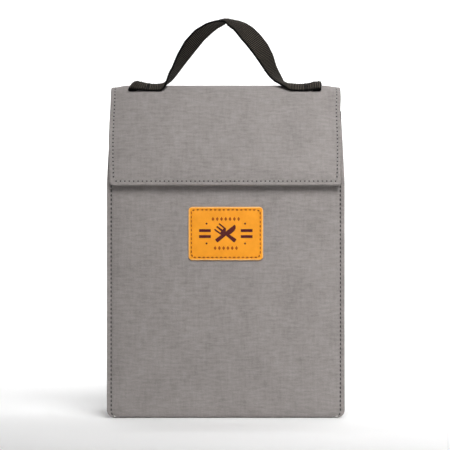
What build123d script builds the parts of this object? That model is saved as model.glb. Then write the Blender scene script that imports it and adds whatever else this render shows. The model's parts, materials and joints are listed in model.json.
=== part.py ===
"""Insulated fold-over lunch bag, in millimetres, +Z up, origin at the centre of its base.

The bag is a padded box of fabric, foam and foil lining. Above its shoulder line the front and
back walls lean together as two lips, the side gussets tuck inwards, and a padded flap folds over
the ridge and down the front, held by hook-and-loop tape. A webbing handle is sewn to the ridge.
-Y is the front of the bag.
"""

from build123d import *
from math import acos, atan2, cos, degrees, hypot, radians, sin, tan
import os

# Body
width = 223.0  # across the stitched edge flanges
depth = 110.0  # between the outer faces of the front and back walls
shoulder_height = 225.0  # where the walls start to lean together
corner_radius = 9.0  # lower corners of the front and back panels
flange = 5.5  # how far the stitched edges stand out from the side gussets

# Layers of a wall, from the outside in
shell = 1.2
foam = 4.0
lining = 0.6
board = 1.5  # stiffener under the lining of the base

# Ridge and flap
ridge_height = 315.0
ridge_radius = 18.0
flap_top_width = 220.0
flap_hem_width = 215.5
flap_stitch_inset = 4.0
flap_foam_thickness = 3.4
flap_lining_thickness = 0.8
flap_bottom = 217.0
flap_bend_height = 240.0  # where the flap starts to turn down towards the front wall
flap_bend_radius = 70.0
flap_hem_lean = 15.0
flap_corner_radius = 5.0
lip_top_width = 218.4
front_lip_length = 74.0  # up the slope; shorter than the back lip, to clear the opening flap

# Closure, patch and handle
tape_width = 160.0
tape_height = 22.0
tape_thickness = 1.4
tape_start = 15.0  # up the slope from the shoulder
binding_thickness = 0.8
binding_width = 10.0  # how far it reaches down each face of the front lip
patch_width = 70.0
patch_height = 50.0
patch_thickness = 1.6
patch_centre_height = 173.0
patch_corner_radius = 4.0
patch_stitch_inset = 2.6
webbing_width = 25.0
webbing_thickness = 1.8
handle_top = 380.5
handle_arm_angle = 57.0
handle_crest_radius = 30.0
handle_pivot_height = 330.0
tab_outer_end = 94.0
tab_double_length = 20.0  # length of the turned-under end of the webbing
thread = 0.8
stitch_inset = 5.0

# Tucked tops of the side gussets
tuck_drop = 4.0  # from the front lip's top edge
tuck_reach = 0.95  # how far the crease stands in, as a share of half the depth there

# Clearances between pieces of different bodies
gap = 0.4
tuck_clearance = 0.9

# Worked out from the dimensions above
half_depth = depth / 2
wall = shell + foam + lining
flap_thickness = shell + flap_foam_thickness + flap_lining_thickness
flap_offset = 2 * tape_thickness + gap  # from the front lip to the inside of the flap
ridge_centre_z = ridge_height - ridge_radius
rise = ridge_centre_z - shoulder_height

# The lean of the two lips makes both tangent to the ridge: a cos(lean) - b sin(lean) = c
tangent_a = depth
tangent_b = 2 * rise
tangent_c = 2 * ridge_radius - flap_offset - flap_thickness
lean = degrees(acos(tangent_c / hypot(tangent_a, tangent_b)) - atan2(tangent_b, tangent_a))
lean_sin = sin(radians(lean))
lean_cos = cos(radians(lean))
mitre = tan(radians(lean / 2))
ridge_centre_y = -(flap_offset + flap_thickness) / (2 * lean_cos)
gusset_x = width / 2 - flange  # outer face of a side gusset
foam_x = gusset_x - shell
liner_x = foam_x - foam
liner_y = half_depth - shell - foam
floor_z = shell + foam + board  # top of the base board

# The handle's centre line: two straight arms joined by an arc at the crest
arm_slope = tan(radians(handle_arm_angle))
crest_centre_z = handle_top - webbing_thickness / 2 - handle_crest_radius
knee_x = handle_crest_radius * sin(radians(handle_arm_angle))
knee_z = crest_centre_z + handle_crest_radius * cos(radians(handle_arm_angle))
handle_pivot_x = knee_x + (knee_z - handle_pivot_height) / arm_slope
tab_inner_end = handle_pivot_x + (handle_pivot_height - ridge_height) / arm_slope
back_lip_length = (rise + ridge_radius * lean_sin) / lean_cos


def keep(name, part):
    """Labels a finished piece and writes it to its own file."""
    part.label = name
    export_step(part, f"parts/{name}.step")


def slope_point(up, inward, side):
    """A point of a lip in the YZ plane. side is -1 at the front and 1 at the back."""
    y = half_depth - up * lean_sin - inward * lean_cos
    return side * y, shoulder_height + up * lean_cos - inward * lean_sin


def prism(points, length):
    """A straight bar along X with the given YZ outline, centred on the YZ plane."""
    with BuildPart() as bar:
        with BuildSketch(Plane.YZ):
            with BuildLine():
                Polyline(*points, close=True)
            make_face()
        extrude(amount=length / 2, both=True)
    return bar.part


def face_outline(bottom, top, bottom_width, top_width, radius):
    """A block through the whole bag with a front-view outline, its lower corners rounded."""
    with BuildPart() as block:
        with BuildSketch(Plane.XZ):
            with BuildLine():
                Polyline(
                    (-bottom_width / 2, bottom),
                    (bottom_width / 2, bottom),
                    (top_width / 2, top),
                    (-top_width / 2, top),
                    close=True,
                )
            make_face()
        extrude(amount=depth, both=True)
        if radius:
            fillet(block.edges().filter_by(Axis.Y).group_by(Axis.Z)[0], radius)
    return block.part


def wall_layer(outer, inner, bottom, length, side):
    """One layer of an upright wall, mitred at the shoulder to meet its lip."""
    points = [
        (side * (half_depth - outer), bottom),
        (side * (half_depth - inner), bottom),
        (side * (half_depth - inner), shoulder_height - inner * mitre - gap / 2),
        (side * (half_depth - outer), shoulder_height - outer * mitre - gap / 2),
    ]
    return prism(points, length)


def lip_layer(outer, inner, top, length, side):
    """One layer of a leaning lip, mitred at the shoulder to meet its wall."""
    points = [
        slope_point(gap / 2 + outer * mitre, outer, side),
        slope_point(gap / 2 + inner * mitre, inner, side),
        slope_point(top, inner, side),
        slope_point(top, outer, side),
    ]
    return prism(points, length)


def body_walls():
    """Outer panels and foam of the front and back, below the shoulder."""
    panel_outline = face_outline(0, ridge_height, width, width, corner_radius)
    for name, side in (("front", -1), ("back", 1)):
        with BuildPart() as panel:
            add(wall_layer(0, shell, 0, width, side))
            add(panel_outline, mode=Mode.INTERSECT)
        keep(f"{name}_panel", panel.part)
        keep(f"{name}_foam", wall_layer(shell, shell + foam, floor_z, 2 * foam_x, side))


def side_gussets():
    """Side panels, turned out at the front and back into the stitched flanges."""
    panel_outline = face_outline(0, ridge_height, width, width, corner_radius)
    web_length = depth - 2 * shell
    top = shoulder_height - 2 * shell * mitre - gap
    for name, side in (("left", -1), ("right", 1)):
        with BuildPart() as gusset:
            with BuildSketch():
                with Locations((side * (gusset_x - shell / 2), 0)):
                    Rectangle(shell, web_length)
                flange_centre = side * (gusset_x + flange / 2)
                edge_y = (web_length - shell) / 2
                with Locations((flange_centre, -edge_y), (flange_centre, edge_y)):
                    Rectangle(flange, shell)
            extrude(amount=top)
            add(panel_outline, mode=Mode.INTERSECT)
        keep(f"{name}_gusset", gusset.part)

        with BuildPart() as side_foam:
            with BuildSketch(Plane.XY.offset(floor_z)):
                with Locations((side * (foam_x - foam / 2), 0)):
                    Rectangle(foam, 2 * liner_y)
            extrude(amount=shoulder_height - floor_z - gap)
        keep(f"{name}_foam", side_foam.part)


def base():
    """Base fabric, foam and stiffener board."""
    levels = (
        ("base_panel", 0, shell, depth - 2 * shell),
        ("base_foam", shell, foam, depth - 2 * shell),
        ("base_board", shell + foam, board, depth - 2 * shell),
    )
    for name, bottom, thickness, length in levels:
        with BuildPart() as layer:
            with BuildSketch(Plane.XY.offset(bottom)):
                Rectangle(2 * foam_x, length)
            extrude(amount=thickness)
        keep(name, layer.part)


def liner():
    """The welded foil tub that holds the food."""
    top = shoulder_height - wall * mitre - gap
    with BuildPart() as tub:
        with BuildSketch(Plane.XY.offset(floor_z)):
            Rectangle(2 * liner_x, 2 * liner_y)
        extrude(amount=top - floor_z)
        offset(amount=-lining, openings=tub.faces().sort_by(Axis.Z)[-1])
    keep("liner_tub", tub.part)


def fold_plane(corners, outward):
    """The plane of a triangle, facing outward, with its origin at the first corner."""
    first, second, third = (Vector(*corner) for corner in corners)
    normal = (second - first).cross(third - first)
    if normal.dot(Vector(*outward)) < 0:
        normal = -normal
    return Plane(origin=first, x_dir=second - first, z_dir=normal)


def gusset_tucks():
    """Unpadded tops of the side gussets, folded in under the lips as three triangles each."""
    inner = wall + tuck_clearance
    low_y = slope_point(tuck_clearance, inner, 1)[0]
    low_z = shoulder_height + tuck_clearance
    high_y, high_z = slope_point(front_lip_length - tuck_drop, inner, 1)
    crease_x = foam_x - tuck_reach * low_y
    for name, side in (("left", -1), ("right", 1)):
        front_low, back_low = (side * foam_x, -low_y, low_z), (side * foam_x, low_y, low_z)
        front_high, back_high = (side * foam_x, -high_y, high_z), (side * foam_x, high_y, high_z)
        crease = (side * crease_x, 0, high_z)
        folds = (
            ((front_low, back_low, crease), (side, 0, 1)),
            ((front_low, crease, front_high), (0, 1, 0)),
            ((back_low, crease, back_high), (0, -1, 0)),
        )
        with BuildPart() as tuck:
            for corners, outward in folds:
                plane = fold_plane(corners, outward)
                with BuildSketch(plane):
                    with BuildLine():
                        Polyline(*(plane.to_local_coords(Vector(*c)) for c in corners), close=True)
                    make_face()
                extrude(amount=shell + lining)
        keep(f"{name}_gusset_tuck", tuck.part)


def lips():
    """Front and back walls above the shoulder, leaning together."""
    lip_outline = face_outline(shoulder_height - wall, ridge_height, width, lip_top_width, 0)
    sides = (("front", -1, front_lip_length), ("back", 1, back_lip_length - gap / 2))
    for name, side, top in sides:
        with BuildPart() as panel:
            add(lip_layer(0, shell, top, width, side))
            add(lip_outline, mode=Mode.INTERSECT)
        keep(f"{name}_lip_panel", panel.part)
        keep(f"{name}_lip_foam", lip_layer(shell, shell + foam, top, 2 * liner_x, side))
        keep(f"{name}_lip_lining", lip_layer(shell + foam, wall, top, 2 * liner_x, side))


def lip_binding():
    """Folded tape over the top edge of the front lip."""
    tape = binding_thickness
    drop = binding_width
    top = front_lip_length
    points = [
        slope_point(top - drop, -tape, -1),
        slope_point(top + tape, -tape, -1),
        slope_point(top + tape, wall + tape, -1),
        slope_point(top - drop, wall + tape, -1),
        slope_point(top - drop, wall, -1),
        slope_point(top, wall, -1),
        slope_point(top, 0, -1),
        slope_point(top - drop, 0, -1),
    ]
    keep("front_lip_binding", prism(points, 2 * liner_x))


def closure():
    """Hook tape on the front lip and loop tape on the flap, one gap apart."""
    end = tape_start + tape_height
    tapes = (("hook_tape", 0), ("loop_tape", -tape_thickness - gap))
    for name, level in tapes:
        points = [
            slope_point(tape_start, level, -1),
            slope_point(end, level, -1),
            slope_point(end, level - tape_thickness, -1),
            slope_point(tape_start, level - tape_thickness, -1),
        ]
        keep(name, prism(points, tape_width))


def flap_line(below):
    """Draws the flap's line at a level below its outer face, and returns its two ends."""
    slope = Vector(-lean_sin, -lean_cos)
    slope_normal = Vector(-lean_cos, lean_sin)
    hem_sin, hem_cos = sin(radians(flap_hem_lean)), cos(radians(flap_hem_lean))
    hem = Vector(-hem_sin, -hem_cos)
    hem_normal = Vector(-hem_cos, hem_sin)
    centre = Vector(ridge_centre_y, ridge_centre_z)
    straight = (ridge_centre_z + ridge_radius * lean_sin - flap_bend_height) / lean_cos
    bend_centre = centre + slope_normal * (ridge_radius - flap_bend_radius) + slope * straight
    bend_end = bend_centre + hem_normal * flap_bend_radius
    hem_length = (bend_end.Y - flap_bottom) / hem_cos
    radius = ridge_radius - below
    bend_radius = flap_bend_radius - below
    start = lean + degrees(gap / 2 / ridge_radius)
    over = CenterArc((centre.X, centre.Y), radius, start, 180 - lean - start)
    Line(centre + slope_normal * radius, bend_centre + slope_normal * bend_radius)
    turn = lean - flap_hem_lean
    CenterArc((bend_centre.X, bend_centre.Y), bend_radius, 180 - lean, turn)
    last = bend_centre + hem_normal * bend_radius
    end = Line(last, last + hem * hem_length)
    return over @ 0, end @ 1


def flap_layer(outer, inner, outline):
    """One layer of the flap, over the ridge and down the front, cut to its outline."""
    with BuildPart() as layer:
        with BuildSketch(Plane.YZ):
            with BuildLine():
                outer_start, outer_end = flap_line(outer)
                inner_start, inner_end = flap_line(inner)
                Line(outer_start, inner_start)
                Line(outer_end, inner_end)
            make_face()
        extrude(amount=flap_top_width, both=True)
        add(outline, mode=Mode.INTERSECT)
    return layer.part


def flap():
    """The padded flap in three layers, and the thread round its edge."""
    outline = face_outline(
        flap_bottom - flap_thickness / 2,
        ridge_height + ridge_radius,
        flap_hem_width,
        flap_top_width,
        flap_corner_radius,
    )
    foam_outline = face_outline(
        flap_bottom + stitch_inset,
        ridge_height + ridge_radius,
        flap_hem_width - 2 * stitch_inset,
        flap_top_width - 2 * stitch_inset,
        flap_corner_radius,
    )
    inner = shell + flap_foam_thickness
    keep("flap_panel", flap_layer(0, shell, outline))
    keep("flap_foam", flap_layer(shell, inner, foam_outline))
    keep("flap_lining", flap_layer(inner, flap_thickness, outline))


def edge_threads():
    """Lines of stitching down the edge flanges of the front and back panels."""
    line_x = width / 2 - stitch_inset
    length = shoulder_height - 2 * corner_radius
    spots = [(x, y) for x in (-line_x, line_x) for y in (-half_depth, half_depth)]
    with BuildPart() as threads:
        with BuildSketch(Plane.XY.offset(corner_radius)):
            for x, y in spots:
                outward = thread / 4 if y > 0 else -thread / 4
                with Locations((x, y + outward)):
                    Rectangle(thread, thread / 2)
        extrude(amount=length)
    keep("body_edge_threads", threads.part)


def patch():
    """Leather patch on the front panel, and the thread that sews it on."""
    face = Plane.XZ.offset(half_depth)
    with BuildPart() as leather:
        with BuildSketch(face):
            with Locations((0, patch_centre_height)):
                RectangleRounded(patch_width, patch_height, patch_corner_radius)
        extrude(amount=patch_thickness)
    keep("patch", leather.part)

    with BuildPart() as seam:
        with BuildSketch(face.offset(patch_thickness)):
            with Locations((0, patch_centre_height)):
                long_side = patch_width - 2 * patch_stitch_inset
                short_side = patch_height - 2 * patch_stitch_inset
                RectangleRounded(long_side, short_side, patch_corner_radius / 2)
                RectangleRounded(
                    long_side - 2 * thread,
                    short_side - 2 * thread,
                    patch_corner_radius / 2 - thread / 2,
                    mode=Mode.SUBTRACT,
                )
        extrude(amount=thread / 2)
    keep("patch_thread", seam.part)


def ridge_band(inner, outer, half_angle, start_x, end_x):
    """A strip of webbing that lies over the ridge, from one X to another."""
    with BuildPart() as band:
        with BuildSketch(Plane.YZ.offset(start_x)):
            with BuildLine():
                centre = (ridge_centre_y, ridge_centre_z)
                start = 90 - half_angle
                near = CenterArc(centre, inner, start, 2 * half_angle)
                far = CenterArc(centre, outer, start, 2 * half_angle)
                Line(near @ 0, far @ 0)
                Line(near @ 1, far @ 1)
            make_face()
        extrude(amount=end_x - start_x)
    return band.part


def handle_ribbon():
    """The webbing from one side of the ridge up over the crest and down to the other."""
    foot_z = ridge_centre_z + ridge_radius / 2
    foot_x = knee_x + (knee_z - foot_z) / arm_slope
    with BuildPart() as ribbon:
        with BuildLine(Plane.XZ.offset(-ridge_centre_y)) as route:
            Line((-foot_x, foot_z), (-knee_x, knee_z))
            crest_z = crest_centre_z + handle_crest_radius
            ThreePointArc((-knee_x, knee_z), (0, crest_z), (knee_x, knee_z))
            Line((knee_x, knee_z), (foot_x, foot_z))
        start = Plane(origin=route.line @ 0, z_dir=route.line % 0, x_dir=(0, 1, 0))
        with BuildSketch(start):
            Rectangle(webbing_width, webbing_thickness)
        sweep(path=route.line)
    return ribbon.part


def x_slice(start_x, end_x):
    """A block through the whole bag between two values of X."""
    with BuildPart() as block:
        with BuildSketch(Plane.YZ.offset(start_x)):
            with Locations((0, ridge_height)):
                Rectangle(2 * depth, 2 * depth)
        extrude(amount=end_x - start_x)
    return block.part


def handle():
    """Webbing handle: two sewn tabs that rise from the ridge, and the loop between them."""
    ribbon = handle_ribbon()
    half_angle = degrees(webbing_width / 2 / ridge_radius)
    single = ridge_radius + webbing_thickness
    double = single + webbing_thickness
    for name, side in (("left", -1), ("right", 1)):
        with BuildPart() as tab:
            riser = sorted((side * (handle_pivot_x + gap / 2), side * width))
            add(ribbon)
            add(x_slice(*riser), mode=Mode.INTERSECT)
            with BuildSketch(Plane.YZ):
                with Locations((ridge_centre_y, ridge_centre_z)):
                    Circle(ridge_radius)
            extrude(amount=width / 2, both=True, mode=Mode.SUBTRACT)
            ends = sorted((side * tab_outer_end, side * tab_inner_end))
            folded = sorted((side * tab_outer_end, side * (tab_outer_end - tab_double_length)))
            add(ridge_band(ridge_radius, single, half_angle, *ends))
            add(ridge_band(single, double, half_angle, *folded))
        keep(f"handle_{name}_tab", tab.part)

    seam_half_angle = degrees((webbing_width / 2 - 2 * thread) / ridge_radius)
    with BuildPart() as seams:
        for side in (-1, 1):
            for inset in (2 * thread, tab_double_length - 2 * thread):
                near = side * (tab_outer_end - inset)
                ends = sorted((near, near - side * thread))
                add(ridge_band(double, double + thread / 2, seam_half_angle, *ends))
    keep("handle_tab_threads", seams.part)

    loop_end = handle_pivot_x - gap / 2
    with BuildPart() as loop:
        add(ribbon)
        add(x_slice(-loop_end, loop_end), mode=Mode.INTERSECT)
    keep("handle_loop", loop.part)


def flap_thread():
    """Lines of stitching down both sides of the flap, on the straight of its slope."""
    line_x = flap_hem_width / 2 - flap_stitch_inset
    start = (flap_bend_height - shoulder_height) / lean_cos + thread
    end = back_lip_length - ridge_radius
    level = -flap_offset - flap_thickness
    points = [
        slope_point(start, level, -1),
        slope_point(end, level, -1),
        slope_point(end, level - thread / 2, -1),
        slope_point(start, level - thread / 2, -1),
    ]
    with BuildPart() as seams:
        with Locations((-line_x, 0, 0), (line_x, 0, 0)):
            add(prism(points, thread))
    keep("flap_threads", seams.part)


def main():
    os.makedirs("parts", exist_ok=True)
    body_walls()
    side_gussets()
    base()
    liner()
    gusset_tucks()
    lips()
    lip_binding()
    closure()
    flap()
    flap_thread()
    edge_threads()
    patch()
    handle()
    print(f"lean {lean:.2f} ridge y {ridge_centre_y:.2f} back lip {back_lip_length:.2f}")
    hinge = slope_point(back_lip_length, 0, 1)
    print(f"flap hinge at y {hinge[0]:.2f} z {hinge[1]:.2f}")


main()
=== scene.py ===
"""The looks of the insulated lunch bag: its cloth, padding, stitching, patch and webbing.

Everything is in metres, +Z up, with the bag's front facing -Y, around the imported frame.
"""

import json
from functools import reduce
from math import atan2, cos, hypot, pi, radians, sin, tan

import bmesh
import bpy
import numpy as np
from mathutils import Vector
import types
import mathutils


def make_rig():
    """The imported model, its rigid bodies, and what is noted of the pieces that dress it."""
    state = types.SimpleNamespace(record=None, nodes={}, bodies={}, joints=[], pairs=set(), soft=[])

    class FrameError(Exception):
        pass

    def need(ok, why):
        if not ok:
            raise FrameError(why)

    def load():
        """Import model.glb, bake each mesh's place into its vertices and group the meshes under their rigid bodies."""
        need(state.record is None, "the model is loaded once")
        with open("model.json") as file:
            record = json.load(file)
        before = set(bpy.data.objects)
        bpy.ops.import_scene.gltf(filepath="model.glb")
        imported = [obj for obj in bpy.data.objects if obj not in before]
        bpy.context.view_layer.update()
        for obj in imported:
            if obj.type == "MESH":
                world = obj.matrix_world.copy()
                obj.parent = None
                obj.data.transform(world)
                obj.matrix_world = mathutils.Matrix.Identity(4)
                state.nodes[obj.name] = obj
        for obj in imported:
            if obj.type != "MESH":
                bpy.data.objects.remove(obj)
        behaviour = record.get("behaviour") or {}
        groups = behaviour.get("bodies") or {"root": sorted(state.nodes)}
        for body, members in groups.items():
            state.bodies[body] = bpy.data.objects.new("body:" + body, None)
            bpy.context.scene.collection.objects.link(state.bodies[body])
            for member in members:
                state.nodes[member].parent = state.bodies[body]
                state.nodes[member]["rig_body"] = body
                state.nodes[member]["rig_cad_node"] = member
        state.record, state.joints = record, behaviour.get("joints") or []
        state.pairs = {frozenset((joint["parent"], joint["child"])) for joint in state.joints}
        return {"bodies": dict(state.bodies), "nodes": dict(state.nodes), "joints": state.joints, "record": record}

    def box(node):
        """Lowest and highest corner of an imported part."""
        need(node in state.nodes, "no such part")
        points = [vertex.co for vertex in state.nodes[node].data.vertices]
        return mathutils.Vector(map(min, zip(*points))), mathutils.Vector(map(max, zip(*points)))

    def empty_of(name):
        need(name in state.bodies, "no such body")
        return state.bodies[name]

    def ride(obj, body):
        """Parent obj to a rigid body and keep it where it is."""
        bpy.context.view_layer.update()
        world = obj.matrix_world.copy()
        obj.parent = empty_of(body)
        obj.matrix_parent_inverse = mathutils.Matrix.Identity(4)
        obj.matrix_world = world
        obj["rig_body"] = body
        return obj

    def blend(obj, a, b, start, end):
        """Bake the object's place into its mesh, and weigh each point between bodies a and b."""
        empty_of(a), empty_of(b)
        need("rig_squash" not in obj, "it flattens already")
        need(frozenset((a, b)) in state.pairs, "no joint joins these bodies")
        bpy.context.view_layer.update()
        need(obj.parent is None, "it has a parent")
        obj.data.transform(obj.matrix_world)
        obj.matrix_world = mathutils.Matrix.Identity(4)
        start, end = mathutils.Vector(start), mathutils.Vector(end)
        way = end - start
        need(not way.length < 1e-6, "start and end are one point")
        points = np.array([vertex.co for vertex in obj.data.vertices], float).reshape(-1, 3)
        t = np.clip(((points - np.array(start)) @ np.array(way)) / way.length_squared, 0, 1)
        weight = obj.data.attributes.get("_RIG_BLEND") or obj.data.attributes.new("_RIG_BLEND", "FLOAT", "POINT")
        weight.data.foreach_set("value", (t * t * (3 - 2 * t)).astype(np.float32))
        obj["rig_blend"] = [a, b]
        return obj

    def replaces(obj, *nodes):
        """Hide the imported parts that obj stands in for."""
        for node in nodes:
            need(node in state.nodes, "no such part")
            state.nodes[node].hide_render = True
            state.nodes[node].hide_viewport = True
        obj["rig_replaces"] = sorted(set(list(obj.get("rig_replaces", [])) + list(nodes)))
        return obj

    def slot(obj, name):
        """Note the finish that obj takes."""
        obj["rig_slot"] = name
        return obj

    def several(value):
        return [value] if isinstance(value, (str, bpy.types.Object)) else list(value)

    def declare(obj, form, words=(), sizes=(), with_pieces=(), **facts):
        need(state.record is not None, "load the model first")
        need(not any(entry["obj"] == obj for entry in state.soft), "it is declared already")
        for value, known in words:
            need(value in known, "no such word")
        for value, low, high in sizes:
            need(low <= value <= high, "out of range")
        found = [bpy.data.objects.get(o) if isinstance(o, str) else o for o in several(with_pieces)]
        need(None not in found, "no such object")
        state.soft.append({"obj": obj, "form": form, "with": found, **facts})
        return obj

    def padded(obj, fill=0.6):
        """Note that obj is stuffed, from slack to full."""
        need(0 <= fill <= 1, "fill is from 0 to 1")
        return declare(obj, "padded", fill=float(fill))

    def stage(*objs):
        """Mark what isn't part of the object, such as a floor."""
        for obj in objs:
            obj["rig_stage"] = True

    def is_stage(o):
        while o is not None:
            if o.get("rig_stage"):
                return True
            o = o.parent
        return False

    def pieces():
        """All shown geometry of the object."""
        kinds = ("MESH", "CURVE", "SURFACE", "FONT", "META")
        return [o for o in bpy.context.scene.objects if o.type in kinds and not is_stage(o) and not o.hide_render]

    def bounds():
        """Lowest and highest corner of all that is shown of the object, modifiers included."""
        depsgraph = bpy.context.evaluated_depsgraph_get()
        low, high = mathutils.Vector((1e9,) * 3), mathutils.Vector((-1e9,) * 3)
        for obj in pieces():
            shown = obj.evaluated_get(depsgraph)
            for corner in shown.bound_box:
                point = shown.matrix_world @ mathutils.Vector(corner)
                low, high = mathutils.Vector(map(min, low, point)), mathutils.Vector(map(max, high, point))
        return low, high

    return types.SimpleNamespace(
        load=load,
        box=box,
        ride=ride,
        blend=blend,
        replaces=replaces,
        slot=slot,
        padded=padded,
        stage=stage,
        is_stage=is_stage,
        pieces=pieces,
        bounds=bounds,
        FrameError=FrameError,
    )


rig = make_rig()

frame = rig.load()
cad_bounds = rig.bounds()

MM = 0.001

# ---------------------------------------------------------------- places, from the frame
joints = {joint["name"]: joint for joint in frame["joints"]}
shoulder_y = joints["back_lip_spread"]["pos_m"][1]
shoulder_z = joints["back_lip_spread"]["pos_m"][2]
ridge_hinge = np.array(joints["flap_fold"]["pos_m"][1:])
ridge_y = joints["handle_fold"]["pos_m"][1]
lean = atan2(shoulder_y - ridge_hinge[0], ridge_hinge[1] - shoulder_z)
ridge_radius = (ridge_hinge[0] - ridge_y) / cos(lean)
ridge_centre = np.array([ridge_y, ridge_hinge[1] - ridge_radius * sin(lean)])
back_lip_length = (ridge_hinge[1] - shoulder_z) / cos(lean)
front_lip_length = (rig.box("front_lip_panel")[1].z - shoulder_z) / cos(lean)
half_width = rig.box("front_panel")[1].x
flange_reach = 5.5 * MM  # how far the front and back reach past the sides
gusset_x = half_width - flange_reach
lining_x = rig.box("liner_tub")[1].x
lining_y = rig.box("liner_tub")[1].y
floor_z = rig.box("liner_tub")[0].z
flap_low_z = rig.box("flap_panel")[0].z
patch_low, patch_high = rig.box("patch")

# ---------------------------------------------------------------- cloth and seam sizes
shell = 1.2 * MM
foam = 4.0 * MM
lining = 0.6 * MM
wall = shell + foam + lining
corner_width, corner_height = 7 * MM, 8 * MM
bottom_curl = 4 * MM
shoulder_bend = 8 * MM
body_stitch = 4.1 * MM  # in from the edge
flap_stitch = 4.0 * MM
pitch = 4.1 * MM
flap_pad = 5.4 * MM
webbing = 1.8 * MM
webbing_width = 25 * MM
rib_pitch = 1.7 * MM


# ---------------------------------------------------------------- mesh tools
def smooth(value):
    """Eases 0 to 1."""
    value = np.clip(value, 0, 1)
    return value * value * (3 - 2 * value)


def ramp(value, start, length):
    """Eases 0 to 1 over a length from a start, both in millimetres."""
    return smooth((value / MM - start) / length)


def hump(value, middle, spread):
    """1 at a middle, in millimetres, and falling away on both sides of it."""
    return np.exp(-(((value / MM - middle) / spread) ** 2))


def least(*values):
    """The smallest of several grids, place by place."""
    return reduce(np.minimum, values)


def stack(*parts):
    """Coordinates side by side in the last axis."""
    return np.stack(parts, -1)


def joined(*parts):
    return np.concatenate(parts)


def drift(u, v, size, seed):
    """Smooth noise from -1 to 1 over two distances, with lumps of the given size."""
    random = np.random.default_rng(seed)
    lattice = random.uniform(-1, 1, (64, 64))
    across, along = np.asarray(u) / size + 17, np.asarray(v) / size + 23
    column, row = np.floor(across).astype(int), np.floor(along).astype(int)
    s, t = smooth(across - column), smooth(along - row)
    value = lambda i, j: lattice[(column + i) % 64, (row + j) % 64]
    low = value(0, 0) * (1 - s) + value(1, 0) * s
    high = value(0, 1) * (1 - s) + value(1, 1) * s
    return low * (1 - t) + high * t


def stations(low, high, step, fine=0.7 * MM, band=9 * MM):
    """Places from low to high: fine in a band at each end, wider between, and closest at the ends."""
    edge = [0, 0.1 * MM, 0.3 * MM, 0.6 * MM]
    places, here = list(edge), edge[-1]
    middle = (high - low) / 2
    while here < middle:
        grow = min(1, max(0, (here - band) / (3 * band)))
        here += fine + (step - fine) * grow
        places.append(here)
    half = np.array(places[:-1])
    half = half[half < middle - fine / 2]
    return joined(low + half, [(low + high) / 2], high - half[::-1])


def panel(across, along, grain, grain_along=None):
    """A grid over a rectangle, and each place's distance in from its edge.

    A grain is the step, the fine step and the width of the fine band, in millimetres."""
    x, s = np.meshgrid(
        stations(*across, *(MM * size for size in grain)),
        stations(*along, *(MM * size for size in grain_along or grain)),
    )
    return x, s, least(x - across[0], across[1] - x, s - along[0], along[1] - s)


class Route:
    """A line in the YZ plane, walked by distance. Its outside is on its left when side is 1."""

    def __init__(self, points, side=1):
        self.points = np.array(points, float)
        steps = np.linalg.norm(np.diff(self.points, axis=0), axis=1)
        keep = joined([True], steps > 1e-7)
        self.points = self.points[keep]
        steps = np.linalg.norm(np.diff(self.points, axis=0), axis=1)
        self.along = joined([0], np.cumsum(steps))
        self.length = self.along[-1]
        self.side = side

    def at(self, distance):
        y = np.interp(distance, self.along, self.points[:, 0])
        z = np.interp(distance, self.along, self.points[:, 1])
        return stack(y, z)

    def outward(self, distance, reach=0.4 * MM):
        ahead = self.at(np.minimum(distance + reach, self.length))
        behind = self.at(np.maximum(distance - reach, 0))
        way = ahead - behind
        way /= np.linalg.norm(way, axis=-1, keepdims=True)
        return self.side * stack(-way[..., 1], way[..., 0])

    def place(self, x, distance, lift):
        """Points at x, at that distance along and lifted off the line."""
        spot = self.at(distance) + self.outward(distance) * np.asarray(lift)[..., None]
        return stack(np.broadcast_to(x, spot[..., 0].shape), spot[..., 0], spot[..., 1])


def arc(centre, radius, start, end, step=0.4 * MM):
    """Points of an arc in the YZ plane, from one angle to another, in radians from +Y to +Z."""
    count = max(4, int(abs(end - start) * radius / step))
    turn = np.linspace(start, end, count)
    return stack(centre[0] + radius * np.cos(turn), centre[1] + radius * np.sin(turn))


def make_object(name, vertices, faces, material, uv=None, weld=1e-6):
    """A smooth-shaded closed mesh, with its vertices welded and its faces turned outward."""
    mesh = bpy.data.meshes.new(name)
    mesh.from_pydata(np.asarray(vertices).tolist(), [], faces)
    if uv is not None:
        layer = mesh.uv_layers.new(name="cloth")
        corner = np.zeros(len(mesh.loops), int)
        mesh.loops.foreach_get("vertex_index", corner)
        layer.data.foreach_set("uv", np.asarray(uv, np.float32)[corner].ravel())
    work = bmesh.new()
    work.from_mesh(mesh)
    bmesh.ops.remove_doubles(work, verts=work.verts, dist=weld)
    bmesh.ops.recalc_face_normals(work, faces=work.faces)
    work.to_mesh(mesh)
    work.free()
    mesh.polygons.foreach_set("use_smooth", [True] * len(mesh.polygons))
    mesh.materials.append(material)
    thing = bpy.data.objects.new(name, mesh)
    bpy.context.scene.collection.objects.link(thing)
    return thing


def grid_faces(rows, columns, first=0, flip=False):
    """Quads of a grid of vertices numbered from first."""
    index = first + np.arange(rows * columns).reshape(rows, columns)
    quads = stack(index[:-1, :-1], index[1:, :-1], index[1:, 1:], index[:-1, 1:])
    quads = quads.reshape(-1, 4)
    return (quads[:, ::-1] if flip else quads).tolist()


def closed_sheet(name, outer, inner, uv, material):
    """A sheet between two grids of points whose edges meet."""
    rows, columns = outer.shape[:2]
    vertices = joined(outer.reshape(-1, 3), inner.reshape(-1, 3))
    faces = grid_faces(rows, columns) + grid_faces(rows, columns, rows * columns, True)
    flat = uv.reshape(-1, 2)
    return make_object(name, vertices, faces, material, joined(flat, flat))


def edge_round(distance, thickness):
    """How far each face of a sheet draws back towards its middle near an edge."""
    share = np.clip(distance / (thickness / 2), 0, 1)
    return thickness / 2 * (1 - np.sqrt(1 - (1 - share) ** 2))


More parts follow.
